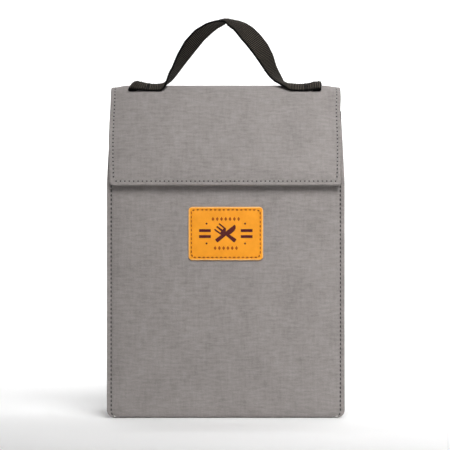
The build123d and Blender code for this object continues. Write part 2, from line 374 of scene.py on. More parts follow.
def route_sheet(name, route, x, s, lift, thickness, edge, material, shaved=0):
    """A sheet that follows a route: x and s are grids, lift is its outer face's height, and its
    inner face is shaved that much thinner."""
    draw = edge_round(edge, thickness)
    outer = route.place(x, s, lift - draw)
    inner = route.place(x, s, lift - thickness + draw + shaved)
    return closed_sheet(name, outer, inner, stack(x, s), material)


def ring_faces(rings, around):
    """Faces between closed rings of vertices in a row, with a cap at each end."""
    index = np.arange(rings * around).reshape(rings, around)
    after = np.roll(index, -1, 1)
    quads = stack(index[:-1], after[:-1], after[1:], index[1:]).reshape(-1, 4)
    return quads.tolist() + [index[0, ::-1].tolist(), index[-1].tolist()]


def tube(points, radius, sides=6):
    """Vertices and faces of a closed round tube through the points, with a flat cap at each end."""
    points = np.asarray(points, float)
    way = np.gradient(points, axis=0)
    way /= np.linalg.norm(way, axis=1, keepdims=True)
    guide = np.array([0.31, 0.52, 0.79])
    across = np.cross(way, guide)
    across /= np.linalg.norm(across, axis=1, keepdims=True)
    other = np.cross(way, across)
    turn = np.arange(sides) / sides * 2 * pi
    ring = across[:, None] * np.cos(turn)[None, :, None] + other[:, None] * np.sin(turn)[None, :, None]
    radius = np.broadcast_to(radius, len(points))
    vertices = (points[:, None] + ring * radius[:, None, None]).reshape(-1, 3)
    return vertices, ring_faces(len(points), sides)


def gather(parts):
    """Joins lists of (vertices, faces) into one."""
    vertices, faces, count = [], [], 0
    for some, more in parts:
        vertices.append(some)
        faces += [[index + count for index in face] for face in more]
        count += len(some)
    return np.concatenate(vertices), faces


def resample(points, step):
    """Points at even steps along a line, with the share of the line at each."""
    points = np.asarray(points, float)
    along = joined([0], np.cumsum(np.linalg.norm(np.diff(points, axis=0), axis=1)))
    count = max(1, round(along[-1] / step))
    spots = np.linspace(0, along[-1], count + 1)
    return stack(*(np.interp(spots, along, column) for column in points.T))


def seam(route, x, s, lift):
    """Points of a seam off a route, with the way out of the cloth at each."""
    out = route.outward(s)
    return route.place(x, s, lift + 0 * s), stack(0 * s, out[:, 0], out[:, 1])


def even_holes(points, outward, step):
    """Needle holes at even steps along a line, and the way out of the cloth at each."""
    even = resample(np.concatenate([points, outward], -1), step)
    return even[:, :3], even[:, 3:] / np.linalg.norm(even[:, 3:], axis=1, keepdims=True)


def stitches(name, lines, looks, fasten, slot, *nodes, radius=0.38, length=0.70, needle=0.78):
    """Rows of stitches from hole to hole, with dark pieces in their needle holes, painted shade, as a second piece.

    A line is its holes and the ways out there. looks are the thread's and the painted hole shade's,
    fasten fixes a piece to its bodies, and radius and needle are in millimetres."""
    threads, holes = [], []
    share = np.linspace(0.5 - length / 2, 0.5 + length / 2, 7)
    height = np.array([-0.9, 0.25, 0.72, 0.85, 0.72, 0.25, -0.9]) * radius * MM
    girth = np.array([0.55, 0.9, 1, 1.02, 1, 0.9, 0.55]) * radius * MM
    rise = np.array([-0.9, -0.1, 0.18, 0.3]) * radius * MM
    bore = np.array([0.95, 1, 0.8, 0.35]) * needle * MM
    for spots, outward in lines:
        for start, end, up in zip(spots[:-1], spots[1:], outward[:-1] + outward[1:]):
            up = up / np.linalg.norm(up)
            threads.append(tube(start + (end - start) * share[:, None] + up * height[:, None], girth))
        # Each hole gets a short dark tube sunk into the cloth: painted shade for the shadow inside the hole.
        holes += [tube(spot + up * rise[:, None], bore, 8) for spot, up in zip(spots, outward)]
    for label, parts, look in ((name, threads, looks[0]), (name + "_holes", holes, looks[1])):
        piece = make_object(label, *gather(parts), look, weld=1e-9)
        fasten(piece)
        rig.slot(piece, slot)
        if nodes and label == name:
            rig.replaces(piece, *nodes)


def dress(piece, slot, *nodes, fill=None):
    """Names a piece's finish, the nodes it stands for and, where it is padded, its fill."""
    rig.slot(piece, slot)
    if nodes:
        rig.replaces(piece, *nodes)
    if fill:
        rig.padded(piece, fill)
    return piece


def rider(body):
    """A way to fasten pieces that makes them ride on one body."""
    return lambda piece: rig.ride(piece, body)


# ---------------------------------------------------------------- material tools
class Graph:
    """A material's node tree, with short ways to add nodes."""

    def __init__(self, name, roughness=0.8, **fixed):
        self.material = bpy.data.materials.new(name)
        self.material.use_nodes = True
        self.tree = self.material.node_tree
        self.shader = self.tree.nodes["Principled BSDF"]
        self.shader.inputs["Roughness"].default_value = roughness
        for socket, value in fixed.items():
            self.shader.inputs[socket.replace("_", " ")].default_value = value

    def node(self, kind, inputs=None, **settings):
        node = self.tree.nodes.new(kind)
        for key, value in settings.items():
            setattr(node, key, value)
        for key, value in (inputs or {}).items():
            self.feed(node.inputs[key], value)
        return node

    def feed(self, socket, value):
        if isinstance(value, bpy.types.NodeSocket):
            self.tree.links.new(value, socket)
        else:
            socket.default_value = value

    def cloth(self, across, along, source="UV"):
        """Texture coordinates, scaled so that one unit is 1 / across by 1 / along metres."""
        place = self.node("ShaderNodeTexCoord").outputs[source]
        stretch = {"Vector": place, "Scale": (across, along, across)}
        return self.node("ShaderNodeMapping", stretch).outputs["Vector"]

    def split(self, vector):
        """How far a place is across and up from the middle, whichever side it is on."""
        parts = self.node("ShaderNodeSeparateXYZ", {0: vector}).outputs
        return self.maths("ABSOLUTE", parts[0]), self.maths("ABSOLUTE", parts[1])

    def noise(self, vector, detail=3.0, roughness=0.55, distortion=0.0):
        facts = {"Vector": vector, "Scale": 1.0, "Detail": detail, "Roughness": roughness}
        facts["Distortion"] = distortion
        return self.node("ShaderNodeTexNoise", facts).outputs["Fac"]

    def bands(self, vector, direction, distortion=0.0, profile="SIN"):
        facts = {"Vector": vector, "Scale": 1.0, "Distortion": distortion, "Detail": 1.0}
        kind = {"wave_type": "BANDS", "bands_direction": direction, "wave_profile": profile}
        return self.node("ShaderNodeTexWave", facts, **kind).outputs["Fac"]

    def maths(self, operation, a, b=0.0):
        return self.node("ShaderNodeMath", {0: a, 1: b}, operation=operation).outputs[0]

    def weigh(self, *pairs):
        """The sum of some values, each times its share."""
        parts = [self.maths("MULTIPLY", value, share) for value, share in pairs]
        return reduce(lambda a, b: self.maths("ADD", a, b), parts)

    def span(self, value, low, high, new_low=0.0, new_high=1.0):
        """Stretches a value from low..high to new_low..new_high, and clamps it."""
        facts = {"Value": value, "From Min": low, "From Max": high}
        facts.update({"To Min": new_low, "To Max": new_high})
        return self.node("ShaderNodeMapRange", facts).outputs["Result"]

    def mix(self, share, a, b, blend="MIX"):
        facts = {0: share, 6: a, 7: b}
        return self.node("ShaderNodeMix", facts, data_type="RGBA", blend_type=blend).outputs[2]

    def bump(self, height, distance, strength=1.0, normal=None):
        facts = {"Height": height, "Distance": distance, "Strength": strength}
        if normal is not None:
            facts["Normal"] = normal
        return self.node("ShaderNodeBump", facts).outputs["Normal"]

    def wear(self, colour=None, roughness=None, normal=None):
        for socket, value in (("Base Color", colour), ("Roughness", roughness), ("Normal", normal)):
            if value is not None:
                self.feed(self.shader.inputs[socket], value)
        return self.material


def tone(level, warm=0.0):
    """A grey, warmer with warm."""
    return (level * (1 + warm), level, level * (1 - warm), 1)


def shell_cloth():
    """Coated grey canvas: clouds, slubs along both threads, and a fine plain weave."""
    g = Graph("shell_cloth", 0.86, Sheen_Weight=0.12, Sheen_Roughness=0.5, Specular_IOR_Level=0.28)
    clouds = g.noise(g.cloth(38, 30), 4, 0.6)
    weft_slubs = g.noise(g.cloth(95, 430), 3, 0.6)
    warp_slubs = g.noise(g.cloth(420, 75), 3, 0.6)
    fibres = g.noise(g.cloth(900, 1000), 3, 0.65)
    patchy = g.span(clouds, 0.3, 0.7, 0.25, 1.1)
    weft_streaks = g.span(weft_slubs, 0.3, 0.7, -0.65, 0.65)
    streaks = g.maths("ADD", weft_streaks, g.span(warp_slubs, 0.3, 0.7, -0.35, 0.35))
    specks = g.span(fibres, 0.3, 0.7, -0.5, 0.5)
    shade = g.weigh((streaks, 0.55), (patchy, 0.55), (specks, 0.6))
    dark, light = (0.184, 0.168, 0.162, 1), (0.335, 0.308, 0.296, 1)
    colour = g.mix(g.span(shade, -0.5, 1.2), dark, light)
    place = g.cloth(330, 330)
    weave = g.weigh((g.bands(place, "X", 1.2), 0.5), (g.bands(place, "Y", 1.2), 0.5))
    height = g.weigh((weave, 0.4), (fibres, 0.8), (streaks, 0.5))
    return g.wear(colour, g.span(fibres, 0.2, 0.8, 0.78, 0.94), g.bump(height, 0.00022, 0.55))


def foil_lining():
    """Silver foil film, crinkled, with the ghost of the scrim behind it."""
    g = Graph("foil_lining", 0.35, Metallic=0.85)
    crease = g.noise(g.cloth(90, 90), 5, 0.6, 0.8)
    scrim = g.maths("MAXIMUM", g.bands(g.cloth(95, 95), "X"), g.bands(g.cloth(95, 95), "Y"))
    colour = g.mix(g.span(crease, 0.35, 0.65), tone(0.50), tone(0.66))
    folds = g.bump(crease, 0.0016, 0.6)
    normal = g.bump(g.span(scrim, 0.8, 1.0), 0.00012, 0.5, folds)
    return g.wear(colour, g.span(crease, 0.3, 0.7, 0.28, 0.46), normal)


def foam_sheet():
    """Closed-cell foam, off-white, with small cells."""
    g = Graph("foam_sheet", 0.85)
    place = g.cloth(700, 700, "Object")
    cells = g.node("ShaderNodeTexVoronoi", {"Vector": place, "Scale": 1.0}).outputs["Distance"]
    patchy = g.noise(g.cloth(60, 60, "Object"), 3)
    colour = g.mix(g.span(patchy, 0.3, 0.7), tone(0.62, 0.02), tone(0.76, 0.015))
    return g.wear(colour, g.span(cells, 0, 1, 0.75, 0.95), g.bump(cells, 0.0003, 0.6))


def stiff_board():
    """Dark fibre board."""
    g = Graph("stiff_board", 0.7)
    grain = g.noise(g.cloth(400, 120, "Object"), 5, 0.7)
    colour = g.mix(g.span(grain, 0.3, 0.7), tone(0.015), tone(0.04, 0.05))
    return g.wear(colour, g.span(grain, 0.3, 0.7, 0.6, 0.8), g.bump(grain, 0.0002, 0.5))


def black_webbing():
    """Black ribbed webbing, with painted shade between its ribs and a painted highlight on its high threads."""
    g = Graph("black_webbing", 0.8, Specular_IOR_Level=0.10)
    ribs = g.bands(g.cloth(0.001, 0.1 * pi / rib_pitch), "Y", 0.0)
    warps = g.bands(g.cloth(240, 0.001), "X", 0.0)
    fuzz = g.noise(g.cloth(900, 1300), 3, 0.7)
    thread = g.weigh((ribs, 0.85), (warps, 0.35), (fuzz, 0.7))
    # Colour follows the threads' height: darker in the hollows between the ribs, a painted shade, and lighter on the
    # highest threads, a painted highlight that stands for glints.
    low = g.mix(g.span(thread, 0.5, 1.05), tone(0.001, 0.15), tone(0.016, 0.16))
    colour = g.mix(g.span(thread, 1.1, 1.65), low, tone(0.150, 0.20))
    selvage = g.split(g.cloth(1000, 1000))[0]
    colour = g.mix(g.span(selvage, 10.4, 11.8), colour, tone(0.001, 0.15))
    return g.wear(colour, g.span(fuzz, 0.3, 0.7, 0.72, 0.92), g.bump(thread, 0.0006, 0.9))


def ribbed_tape(name, dark, light, across=1, along=420):
    """Grosgrain or hook-and-loop ground tape."""
    g = Graph(name, 0.8, Sheen_Weight=0.2)
    ribs = g.bands(g.cloth(across, along), "Y", 0.3)
    fuzz = g.noise(g.cloth(1300, 1300), 3, 0.6)
    height = g.weigh((ribs, 0.7), (fuzz, 0.5))
    colour = g.mix(g.span(height, 0.2, 1.0), tone(dark, 0.03), tone(light, 0.03))
    return g.wear(colour, g.span(fuzz, 0.3, 0.7, 0.7, 0.9), g.bump(height, 0.0002, 0.6))


def spun_thread(name, dark, light, roughness=0.7):
    """Twisted thread: two shades wound round each other."""
    g = Graph(name, roughness, Sheen_Weight=0.05, Specular_IOR_Level=0.12)
    place = g.cloth(2600, 2600, "Object")
    twist = g.bands(place, "DIAGONAL", 0.8)
    fuzz = g.noise(place, 2)
    height = g.maths("ADD", twist, g.maths("MULTIPLY", fuzz, 0.5))
    colour = g.mix(g.span(height, 0.2, 1.3), dark, light)
    rough = g.span(fuzz, 0.3, 0.7, roughness - 0.1, roughness + 0.1)
    return g.wear(colour, rough, g.bump(height, 0.00008, 0.6))


def tan_leather():
    """Smooth tan-orange leather: fine grain, pores and a painted highlight along its rim."""
    g = Graph("tan_leather", 0.48, Coat_Weight=0.03, Coat_Roughness=0.35, Specular_IOR_Level=0.25)
    place = g.cloth(1, 1)
    grain = g.node("ShaderNodeTexVoronoi", {"Vector": place, "Scale": 1500.0}).outputs["Distance"]
    pores = g.noise(g.cloth(2400, 2400), 2, 0.6)
    clouds = g.noise(g.cloth(85, 85), 4, 0.6)
    colour = g.mix(g.span(clouds, 0.3, 0.7), (0.79, 0.287, 0.010, 1), (0.89, 0.338, 0.016, 1))
    colour = g.mix(g.span(pores, 0.60, 0.75, 0, 0.35), colour, (0.62, 0.17, 0.006, 1))
    across, up = g.split(place)
    # A painted highlight: lighter, yellower colour within about 1.5 mm of the patch's edge, where its rounded edge
    # catches the light.
    rim = g.maths("MAXIMUM", g.maths("SUBTRACT", across, 35 * MM), g.maths("SUBTRACT", up, 25 * MM))
    colour = g.mix(g.span(rim, -1.5 * MM, -0.4 * MM, 0, 0.55), colour, (0.98, 0.66, 0.28, 1))
    height = g.weigh((grain, 0.7), (pores, 0.5))
    return g.wear(colour, g.span(pores, 0.3, 0.7, 0.40, 0.58), g.bump(height, 0.00012, 0.5))


def scorched_mark(name, dark, light):
    """Leather darkened by a hot stamp."""
    g = Graph(name, 0.55, Specular_IOR_Level=0.15)
    mottle = g.noise(g.cloth(900, 900, "Object"), 3, 0.6)
    colour = g.mix(g.span(mottle, 0.3, 0.7), dark, light)
    return g.wear(colour, g.span(mottle, 0.3, 0.7, 0.45, 0.65), g.bump(mottle, 0.0001, 0.4))


cloth = shell_cloth()
foil = foil_lining()
foam_look = foam_sheet()
board_look = stiff_board()
strap_look = black_webbing()
binding_look = ribbed_tape("binding_tape", 0.016, 0.045)
hook_look = ribbed_tape("hook_ground", 0.008, 0.022, 300, 300)
# grey_thread is nearly black, a darkened copy of the pale thread: painted shade for the body's edge stitches, which
# sit in grooves.
grey_thread = spun_thread("grey_thread", tone(0.03, 0.03), tone(0.08, 0.03))
pale_thread = spun_thread("pale_thread", tone(0.20, 0.03), tone(0.38, 0.03))
black_thread = spun_thread("black_thread", tone(0.008, 0.05), tone(0.035, 0.05))
brown_thread = spun_thread("brown_thread", (0.20, 0.045, 0.004, 1), (0.38, 0.100, 0.010, 1))
# The hole pieces are nearly black: painted shade for the shadow inside each needle hole.
hole_shade_look = spun_thread("needle_hole", tone(0.010, 0.02), tone(0.028, 0.02), 0.9)
# The patch's hole pieces are a brown darker than the leather: painted shade in its needle holes, kept small.
patch_hole_shade = scorched_mark("patch_needle_hole", (0.16, 0.035, 0.006, 1), (0.26, 0.06, 0.010, 1))
leather = tan_leather()
dark_mark = scorched_mark("dark_mark", (0.060, 0.008, 0.010, 1), (0.110, 0.018, 0.018, 1))
light_mark = scorched_mark("light_mark", (0.25, 0.045, 0.004, 1), (0.36, 0.080, 0.008, 1))


# ---------------------------------------------------------------- the lines that cloth follows
def wall_route(side, length):
    """Outer face of a wall: out of the base's seam, up to the shoulder, and up its lip."""
    inset = shoulder_y - bottom_curl
    turn = np.linspace(0, pi / 2, 16)
    curl = stack(side * (inset + bottom_curl * np.sin(turn)), bottom_curl * (1 - np.cos(turn)))
    tangent = shoulder_bend * tan(lean / 2)
    centre = np.array([shoulder_y - shoulder_bend, shoulder_z - tangent])
    bend = arc(centre, shoulder_bend, 0, lean)
    top = [shoulder_y - length * sin(lean), shoulder_z + length * cos(lean)]
    upper = joined(bend, [top])
    upper[:, 0] *= side
    steps = np.linspace(curl[-1], upper[0], 60)
    return Route(joined(curl, steps, upper), -side)


def flap_route(start):
    """The flap's outer face, from a seam below the ridge at the back, over it and down to its hem."""
    up = np.array([-sin(lean), cos(lean)])
    first = ridge_hinge - up * start
    over = arc(ridge_centre, ridge_radius, lean, pi - lean)
    down = np.array([-sin(lean), -cos(lean)])
    normal = np.array([-cos(lean), sin(lean)])
    bend_z, bend_radius, hem_lean = 240 * MM, 70 * MM, radians(15)
    straight = (over[-1][1] - bend_z) / cos(lean)
    centre = over[-1] - normal * bend_radius + down * straight
    bend = arc(centre, bend_radius, pi - lean, pi - hem_lean)
    hem = np.array([-sin(hem_lean), -cos(hem_lean)])
    hem_lift = 1.9 * MM  # how far the hem's line ends above the flap panel's lowest place
    end = bend[-1] + hem * (bend[-1][1] - flap_low_z - hem_lift) / cos(hem_lean)
    return Route(joined([first], over, bend, [end]), -1)


flap_start = 36 * MM  # how far below the ridge's hinge the flap is sewn to the back
rear_lap = 8 * MM  # how far the back runs up under the flap's end
front_route = wall_route(-1, front_lip_length)
back_route = wall_route(1, back_lip_length - flap_start + rear_lap)
flap_line = flap_route(flap_start)
curl_length = bottom_curl * pi / 2
shoulder_s = curl_length + shoulder_z - bottom_curl


# ---------------------------------------------------------------- walls
def wall_half_width(z):
    """Half the width of the front or back at a height: round at the foot, narrower up the lips."""
    drop = np.clip(1 - z / corner_height, 0, 1)
    foot = corner_width * (1 - np.sqrt(1 - drop**2))
    rise = np.clip((z - shoulder_z + wall) / (90 * MM + wall), 0, 1)
    return half_width - foot - 2.3 * MM * rise


def wall_lift(x, s, edge, seed):
    """How far the padded wall stands out: full between its seams, pinched along the stitching."""
    climb = ramp(s, 2, 70) * (1 - ramp(s, 130, 90))
    body = 1 - ramp(s - shoulder_s, -26, 24)
    inside = np.clip((edge - body_stitch) / (half_width - body_stitch), 0, 1)
    crown = 4.2 * MM * climb * np.sqrt(1 - (1 - inside) ** 2.2)
    foot = ramp(s, 0, 14)
    pillow = 1.1 * MM * body * foot * ramp(edge - body_stitch, 0, 10)
    uneven = 0.45 * MM * drift(x, s, 52 * MM, seed) + 0.16 * MM * drift(x, s, 17 * MM, seed + 1)
    uneven *= body * foot * ramp(edge - body_stitch, 0, 22)
    near = hump(edge - body_stitch, 0, 1.25)
    tug = 0.62 + 0.38 * np.cos(2 * pi * s / pitch)
    groove = -0.8 * MM * near * tug
    reach = hump(edge - body_stitch, 2.4, 3.2)
    ripple = 0.26 * MM * reach * body * foot * drift(x * 0.4, s, 5.2 * MM, seed + 2)
    flange = -0.12 * MM * (1 - smooth(edge / body_stitch)) * (1 + drift(x, s, 14 * MM, seed + 3))
    return crown + pillow + uneven + groove + ripple + flange


def wall_grid(route, length):
    """x, s and distance from the cut edge, over a wall from its foot to that length."""
    across = stations(-half_width, half_width, 3.6 * MM) / half_width
    count = int(length / (pitch / 4))
    along = joined([0, 0.15 * MM, 0.5 * MM], np.linspace(1 * MM, length, count))
    u, s = np.meshgrid(across, along)
    half = wall_half_width(route.at(s)[..., 1])
    x = u * half
    return x, s, half - np.abs(x)


def wall_skin(name, route, seed):
    x, s, edge = wall_grid(route, route.length)
    ends = least(s, route.length - s, edge)
    lift = wall_lift(x, s, edge, seed)
    return route_sheet(name, route, x, s, lift, shell, ends, cloth)


def edge_rows(route, last, seed):
    """The two lines of stitching down a wall's edges, with their outward ways."""
    lines = []
    for side in (-1, 1):
        s = np.arange(1, int(last / pitch)) * pitch
        half = wall_half_width(route.at(s)[..., 1])
        x = side * np.minimum(half_width - body_stitch, half - 3 * MM)
        lift = wall_lift(x, s, half - np.abs(x), seed) - 0.2 * MM
        lines.append(seam(route, x, s, lift))
    return lines


def bend_with_lip(which):
    """A way to fasten pieces that blends them from the body to one lip, round the shoulder."""
    start, end = (0, 0, shoulder_z - 9 * MM), (0, 0, shoulder_z + 7 * MM)
    return lambda piece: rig.blend(piece, "body", f"{which}_lip", start=start, end=end)


front_seed, back_seed = 11, 31
for which, route, seed in (("front", front_route, front_seed), ("back", back_route, back_seed)):
    skin = wall_skin(f"{which}_skin", route, seed)
    bend_with_lip(which)(skin)
    dress(skin, "shell_fabric", f"{which}_panel", f"{which}_lip_panel", fill=0.7)
for which, route, seed, unsewn, nodes in (
    ("front", front_route, front_seed, 3 * MM, ["body_edge_threads"]),
    ("back", back_route, back_seed, 1 * MM, []),
):
    # The body's edge stitches take the darkened thread: painted shade.
    stitches(
        f"{which}_edge_stitches", edge_rows(route, route.length - unsewn, seed),
        (grey_thread, hole_shade_look), bend_with_lip(which), "grey_thread", *nodes,
        radius=0.75, length=0.58, needle=0.3,
    )


# ---------------------------------------------------------------- side gussets
def side_bow(y, z):
    """How far a side is drawn in, most in its middle and towards the tuck at its top."""
    depth = 1.5 * ramp(z, 12, 40) + 7.5 * ramp(z, 60, 165)
    depth = depth * MM
    return depth * np.clip(1 - (y / (52.5 * MM)) ** 2, 0, 1) ** 1.3


def gusset_skin(name, side, seed):
    """A side panel with its two edges turned out along the front and back."""
    inner_y, top = shoulder_y - 2 * shell, shoulder_z + 0.3 * MM
    bend, foot = 1.4 * MM, 3 * MM
    flange = joined([0, 0.1, 0.3, 0.6], np.linspace(1.2, (flange_reach - bend) / MM, 5)) * MM
    turn = np.linspace(0, pi / 2, 6)[1:]
    web = stations(-inner_y + bend, inner_y - bend, 3.4 * MM, 0.9 * MM, 6 * MM)[1:-1]
    # across the panel: how far out past the side, y, and the cloth's normal in x and y
    turned_out = stack(flange[::-1] + bend, 0 * flange - inner_y, 0 * flange, 0 * flange + 1)
    out, y = bend * (1 - np.sin(turn)), bend * (1 - np.cos(turn)) - inner_y
    half = joined(turned_out, stack(out, y, np.sin(turn), np.cos(turn)))
    flat = stack(0 * web, web, 0 * web + 1, 0 * web)
    section = joined(half, flat, half[::-1] * (1, -1, 1, -1))
    # up the panel: z, how far x is shifted at the foot, and the normal in z
    curl = np.linspace(0, pi / 2, 8)
    low = stack(foot * (1 - np.cos(curl)), -foot * (1 - np.sin(curl)), -np.cos(curl))
    rise = np.linspace(foot, top, 110)[1:]
    column = joined(low, stack(rise, 0 * rise, 0 * rise))
    out, y, nx, ny = (np.tile(part, (len(column), 1)) for part in section.T)
    z, shift, nz = (np.tile(part[:, None], (1, len(section))) for part in column.T)
    tip = np.clip(wall_half_width(z) - gusset_x, 0.2 * MM, flange_reach)
    x = gusset_x + np.where(out > 0, out / flange_reach * tip, 0) + shift
    x -= side_bow(y, z) * (np.abs(y) < inner_y - bend / 2)
    uneven = 0.5 * MM * drift(y, z, 34 * MM, seed) + 0.15 * MM * drift(y, z, 13 * MM, seed + 1)
    x += uneven * np.clip((inner_y - np.abs(y)) / (14 * MM), 0, 1)
    level = np.sqrt(1 - nz**2)
    ways = stack(nx * level, ny * level, nz)
    middle = stack(x, y, z) - ways * shell / 2
    on_side, on_flange = np.minimum(z + 5 * MM, top - z), least(flange_reach - out, z, top - z)
    ends = np.clip(np.where(out > 0, on_flange, on_side), 0, 1)
    half = (shell / 2 - edge_round(ends, shell))[..., None]
    outer, inner = middle + ways * half, middle - ways * half
    for grid in (outer, inner):
        grid[..., 0] *= side
        grid[..., 2] = np.maximum(grid[..., 2], 0)
    return closed_sheet(name, outer, inner, stack(y + out, z), cloth)


def crinkle(x, s, seed, depth=0.35 * MM):
    """Sharp and soft folds of a thin film."""
    sharp = 1 - np.abs(drift(x, s, 21 * MM, seed)) * 2
    return depth * (sharp * 0.7 + 0.5 * drift(x, s, 7 * MM, seed + 1))


def side_sheet(name, side, inset, fine, level, thickness, rounding, material, seed=None):
    """Foam or foil behind a side panel, drawn in with it. A seed gives it folds."""
    half_y, top = lining_y - inset, shoulder_z - 0.6 * MM
    y, z, ends = panel((-half_y, half_y), (floor_z, top), (4, fine, 4))
    draw = edge_round(ends, rounding)
    x = gusset_x - shell - level - side_bow(y, z) - draw
    if seed:
        x = x - crinkle(y, z, seed) * ramp(ends, 0, 6)
    outer, inner = (stack(side * place, y, z) for place in (x, x - thickness + 2 * draw))
    return closed_sheet(name, outer, inner, stack(y, z), material)


sides = (("left", -1), ("right", 1))
for name, side in sides:
    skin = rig.ride(gusset_skin(f"{name}_gusset_skin", side, 56 + 5 * side), "body")
    dress(skin, "shell_fabric", f"{name}_gusset", fill=0.5)
    pad_facts = (0, 1.5, 0.7 * MM, foam - 1.2 * MM, 2 * MM, foam_look)
    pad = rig.ride(side_sheet(f"{name}_side_pad", side, *pad_facts), "body")
    dress(pad, "padding", f"{name}_foam", fill=0.8)


def flat_sheet(name, low, high, thickness, material, lift):
    """A level sheet between two XY corners, with its lower face where lift says."""
    x, y, ends = panel((low[0], high[0]), (low[1], high[1]), (3.5, 1, 5))
    draw = edge_round(ends, thickness)
    z = lift(x, y)
    under, over = stack(x, y, z + draw), stack(x, y, z + thickness - draw)
    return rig.ride(closed_sheet(name, under, over, stack(x, y), material), "body")


base_corner = np.array([gusset_x - 2.7 * MM, shoulder_y - bottom_curl + 0.3 * MM])
base_lift = lambda x, y: 0.12 * MM * (1 + drift(x, y, 30 * MM, 71))
base_skin = flat_sheet("base_skin", -base_corner, base_corner, shell, cloth, base_lift)
dress(base_skin, "shell_fabric", "base_panel")

# ---------------------------------------------------------------- foil lining
def wall_lining(name, route, top, seed):
    """Foil up the inside of a wall and its lip."""
    start = curl_length + floor_z - bottom_curl - 0.5 * MM
    half_x = lining_x - 0.3 * MM
    x, s, ends = panel((-half_x, half_x), (start, top), (4, 1.2, 4), (3, 1.2, 4))
    folds = crinkle(x, s, seed) * ramp(ends, 0, 6)
    body = 1 - ramp(s - shoulder_s, -20, 20)
    lift = -(shell + foam) - folds - 0.15 * MM - 0.35 * MM * body
    return route_sheet(name, route, x, s, lift, lining, ends, foil)


back_full = wall_route(1, back_lip_length)
for which, route, spare, seed, nodes in (
    ("front", front_route, 1 * MM, 83, ("liner_tub", "front_lip_lining")),
    ("back", back_full, 2 * MM, 87, ("back_lip_lining",)),
):
    film = wall_lining(f"{which}_lining", route, route.length - spare, seed)
    bend_with_lip(which)(film)
    dress(film, "foil_lining", *nodes)
floor_corner = np.array([lining_x, lining_y])
floor_lift = lambda x, y: floor_z + 0.1 * MM + np.abs(crinkle(x, y, 91, 0.5 * MM))
dress(flat_sheet("floor_lining", -floor_corner, floor_corner, lining, foil, floor_lift), "foil_lining")
for name, side in sides:
    film_facts = (0.2 * MM, 1.2, foam + 0.05 * MM, lining, lining, foil, 95 + 2 * side)
    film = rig.ride(side_sheet(f"{name}_lining", side, *film_facts), "body")
    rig.slot(film, "foil_lining")

# ---------------------------------------------------------------- tucks at the tops of the sides
tuck_inner = wall + 0.9 * MM
tuck_low_y = shoulder_y - 0.9 * MM * sin(lean) - tuck_inner * cos(lean)
tuck_high_up = front_lip_length - 4 * MM
tuck_high_y = shoulder_y - tuck_high_up * sin(lean) - tuck_inner * cos(lean)
tuck_high_z = shoulder_z + tuck_high_up * cos(lean) - tuck_inner * sin(lean)
tuck_crease_x = gusset_x - shell - 0.95 * tuck_low_y


def tuck_half(name, side, face, level, thickness, material, seed, start=0.0, reach=0.985):
    """Half of a tuck: the slope from the top of the side to the crease, and the wing up one lip.
    Its threads fan out from the crease's tip. face is -1 at the front and 1 at the back. start
    moves the wing's rows towards the tip and reach is where they stop, as shares of the way."""
    edge_x = gusset_x - shell
    u = np.linspace(0, 1, 41)
    slope, wing = np.clip(u * 2, 0, 1), np.clip(u * 2 - 1, 0, 1)
    y = tuck_low_y * slope + (tuck_high_y - tuck_low_y) * wing
    bow = side_bow(y, np.array(shoulder_z)) * (wing == 0)
    root = stack(edge_x - bow - 1.4 * MM, y)
    root = np.concatenate([root, (shoulder_z + (tuck_high_z - shoulder_z) * wing)[:, None]], -1)
    tip = np.array([tuck_crease_x, 0, tuck_high_z])
    v = np.linspace(0, reach, 44)[:, None] + start * smooth((u - 0.5) / 0.06)
    v = np.minimum(v, reach)[..., None]
    fan = root[None] * (1 - v) + tip * v
    hem = 8.5 * MM * (1 - smooth((u - 0.49) / 0.035)) + 0.8 * MM
    below = np.repeat(fan[:1], 8, 0)
    below[..., 2] -= np.linspace(1, 0, 9)[:-1, None] * hem
    grid = joined(below, fan)
    rise = joined(np.zeros(8), v[:, 0, 0])[:, None]
    loose = np.sin(pi * np.clip(rise, 0, 1))
    grid[..., 0] -= 2.4 * MM * np.sin(pi * slope) * loose
    grid[..., 2] -= 1.8 * MM * np.sin(pi * slope) * loose
    grid[..., 1] -= 1.0 * MM * np.sin(pi * wing) * loose
    folds = drift(np.broadcast_to(u * 60 * MM, grid.shape[:2]), grid[..., 2], 13 * MM, seed)
    grid[..., 0] += 0.5 * MM * folds * loose * np.sin(pi * u)
    normal = np.cross(np.gradient(grid, axis=1), np.gradient(grid, axis=0))
    normal /= np.linalg.norm(normal, axis=-1, keepdims=True)
    normal *= np.sign(normal[20, 8, 0] + normal[20, 8, 2])
    across = (1 - u) * 90 * MM
    up = np.minimum(np.arange(len(rise)), np.arange(len(rise))[::-1]) * 1.2 * MM
    ends = np.minimum(across[None, :], up[:, None])
    half = (thickness / 2 - edge_round(ends, thickness))[..., None]
    outer = grid + normal * (level + half)
    inner = grid + normal * (level - half)
    inner[:, 0] = outer[:, 0]
    for points in (outer, inner):
        points[:, 0, 1] = 0
        points[..., 1] = np.maximum(points[..., 1], 0) * face
        points[..., 0] *= side
    uv = stack(grid[..., 1] + grid[..., 0], grid[..., 2])
    return closed_sheet(name, outer, inner, uv, material)


def bend_tuck(piece, face_name, face):
    """Blends half a tuck from the body to its lip, over a band that leans out and up."""
    out, up = 64.0, 31.0
    way = np.array([0, face * out, up]) / hypot(out, up)
    start, end = way * 126.6 * MM, way * 141.9 * MM
    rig.blend(piece, "body", f"{face_name}_lip", start=start, end=end)


for side_name, side in sides:
    for face_name, face in (("front", -1), ("back", 1)):
        label = f"{side_name}_{face_name}_tuck"
        seed = 101 + 7 * side + 3 * face
        fabric = tuck_half(label, side, face, 1.2 * MM, shell, cloth, seed)
        film = tuck_half(label + "_lining", side, face, 0.3 * MM, lining, foil, seed, 0.05, 0.93)
        bend_tuck(fabric, face_name, face)
        bend_tuck(film, face_name, face)
        dress(fabric, "shell_fabric", f"{side_name}_gusset_tuck")
        dress(film, "foil_lining")


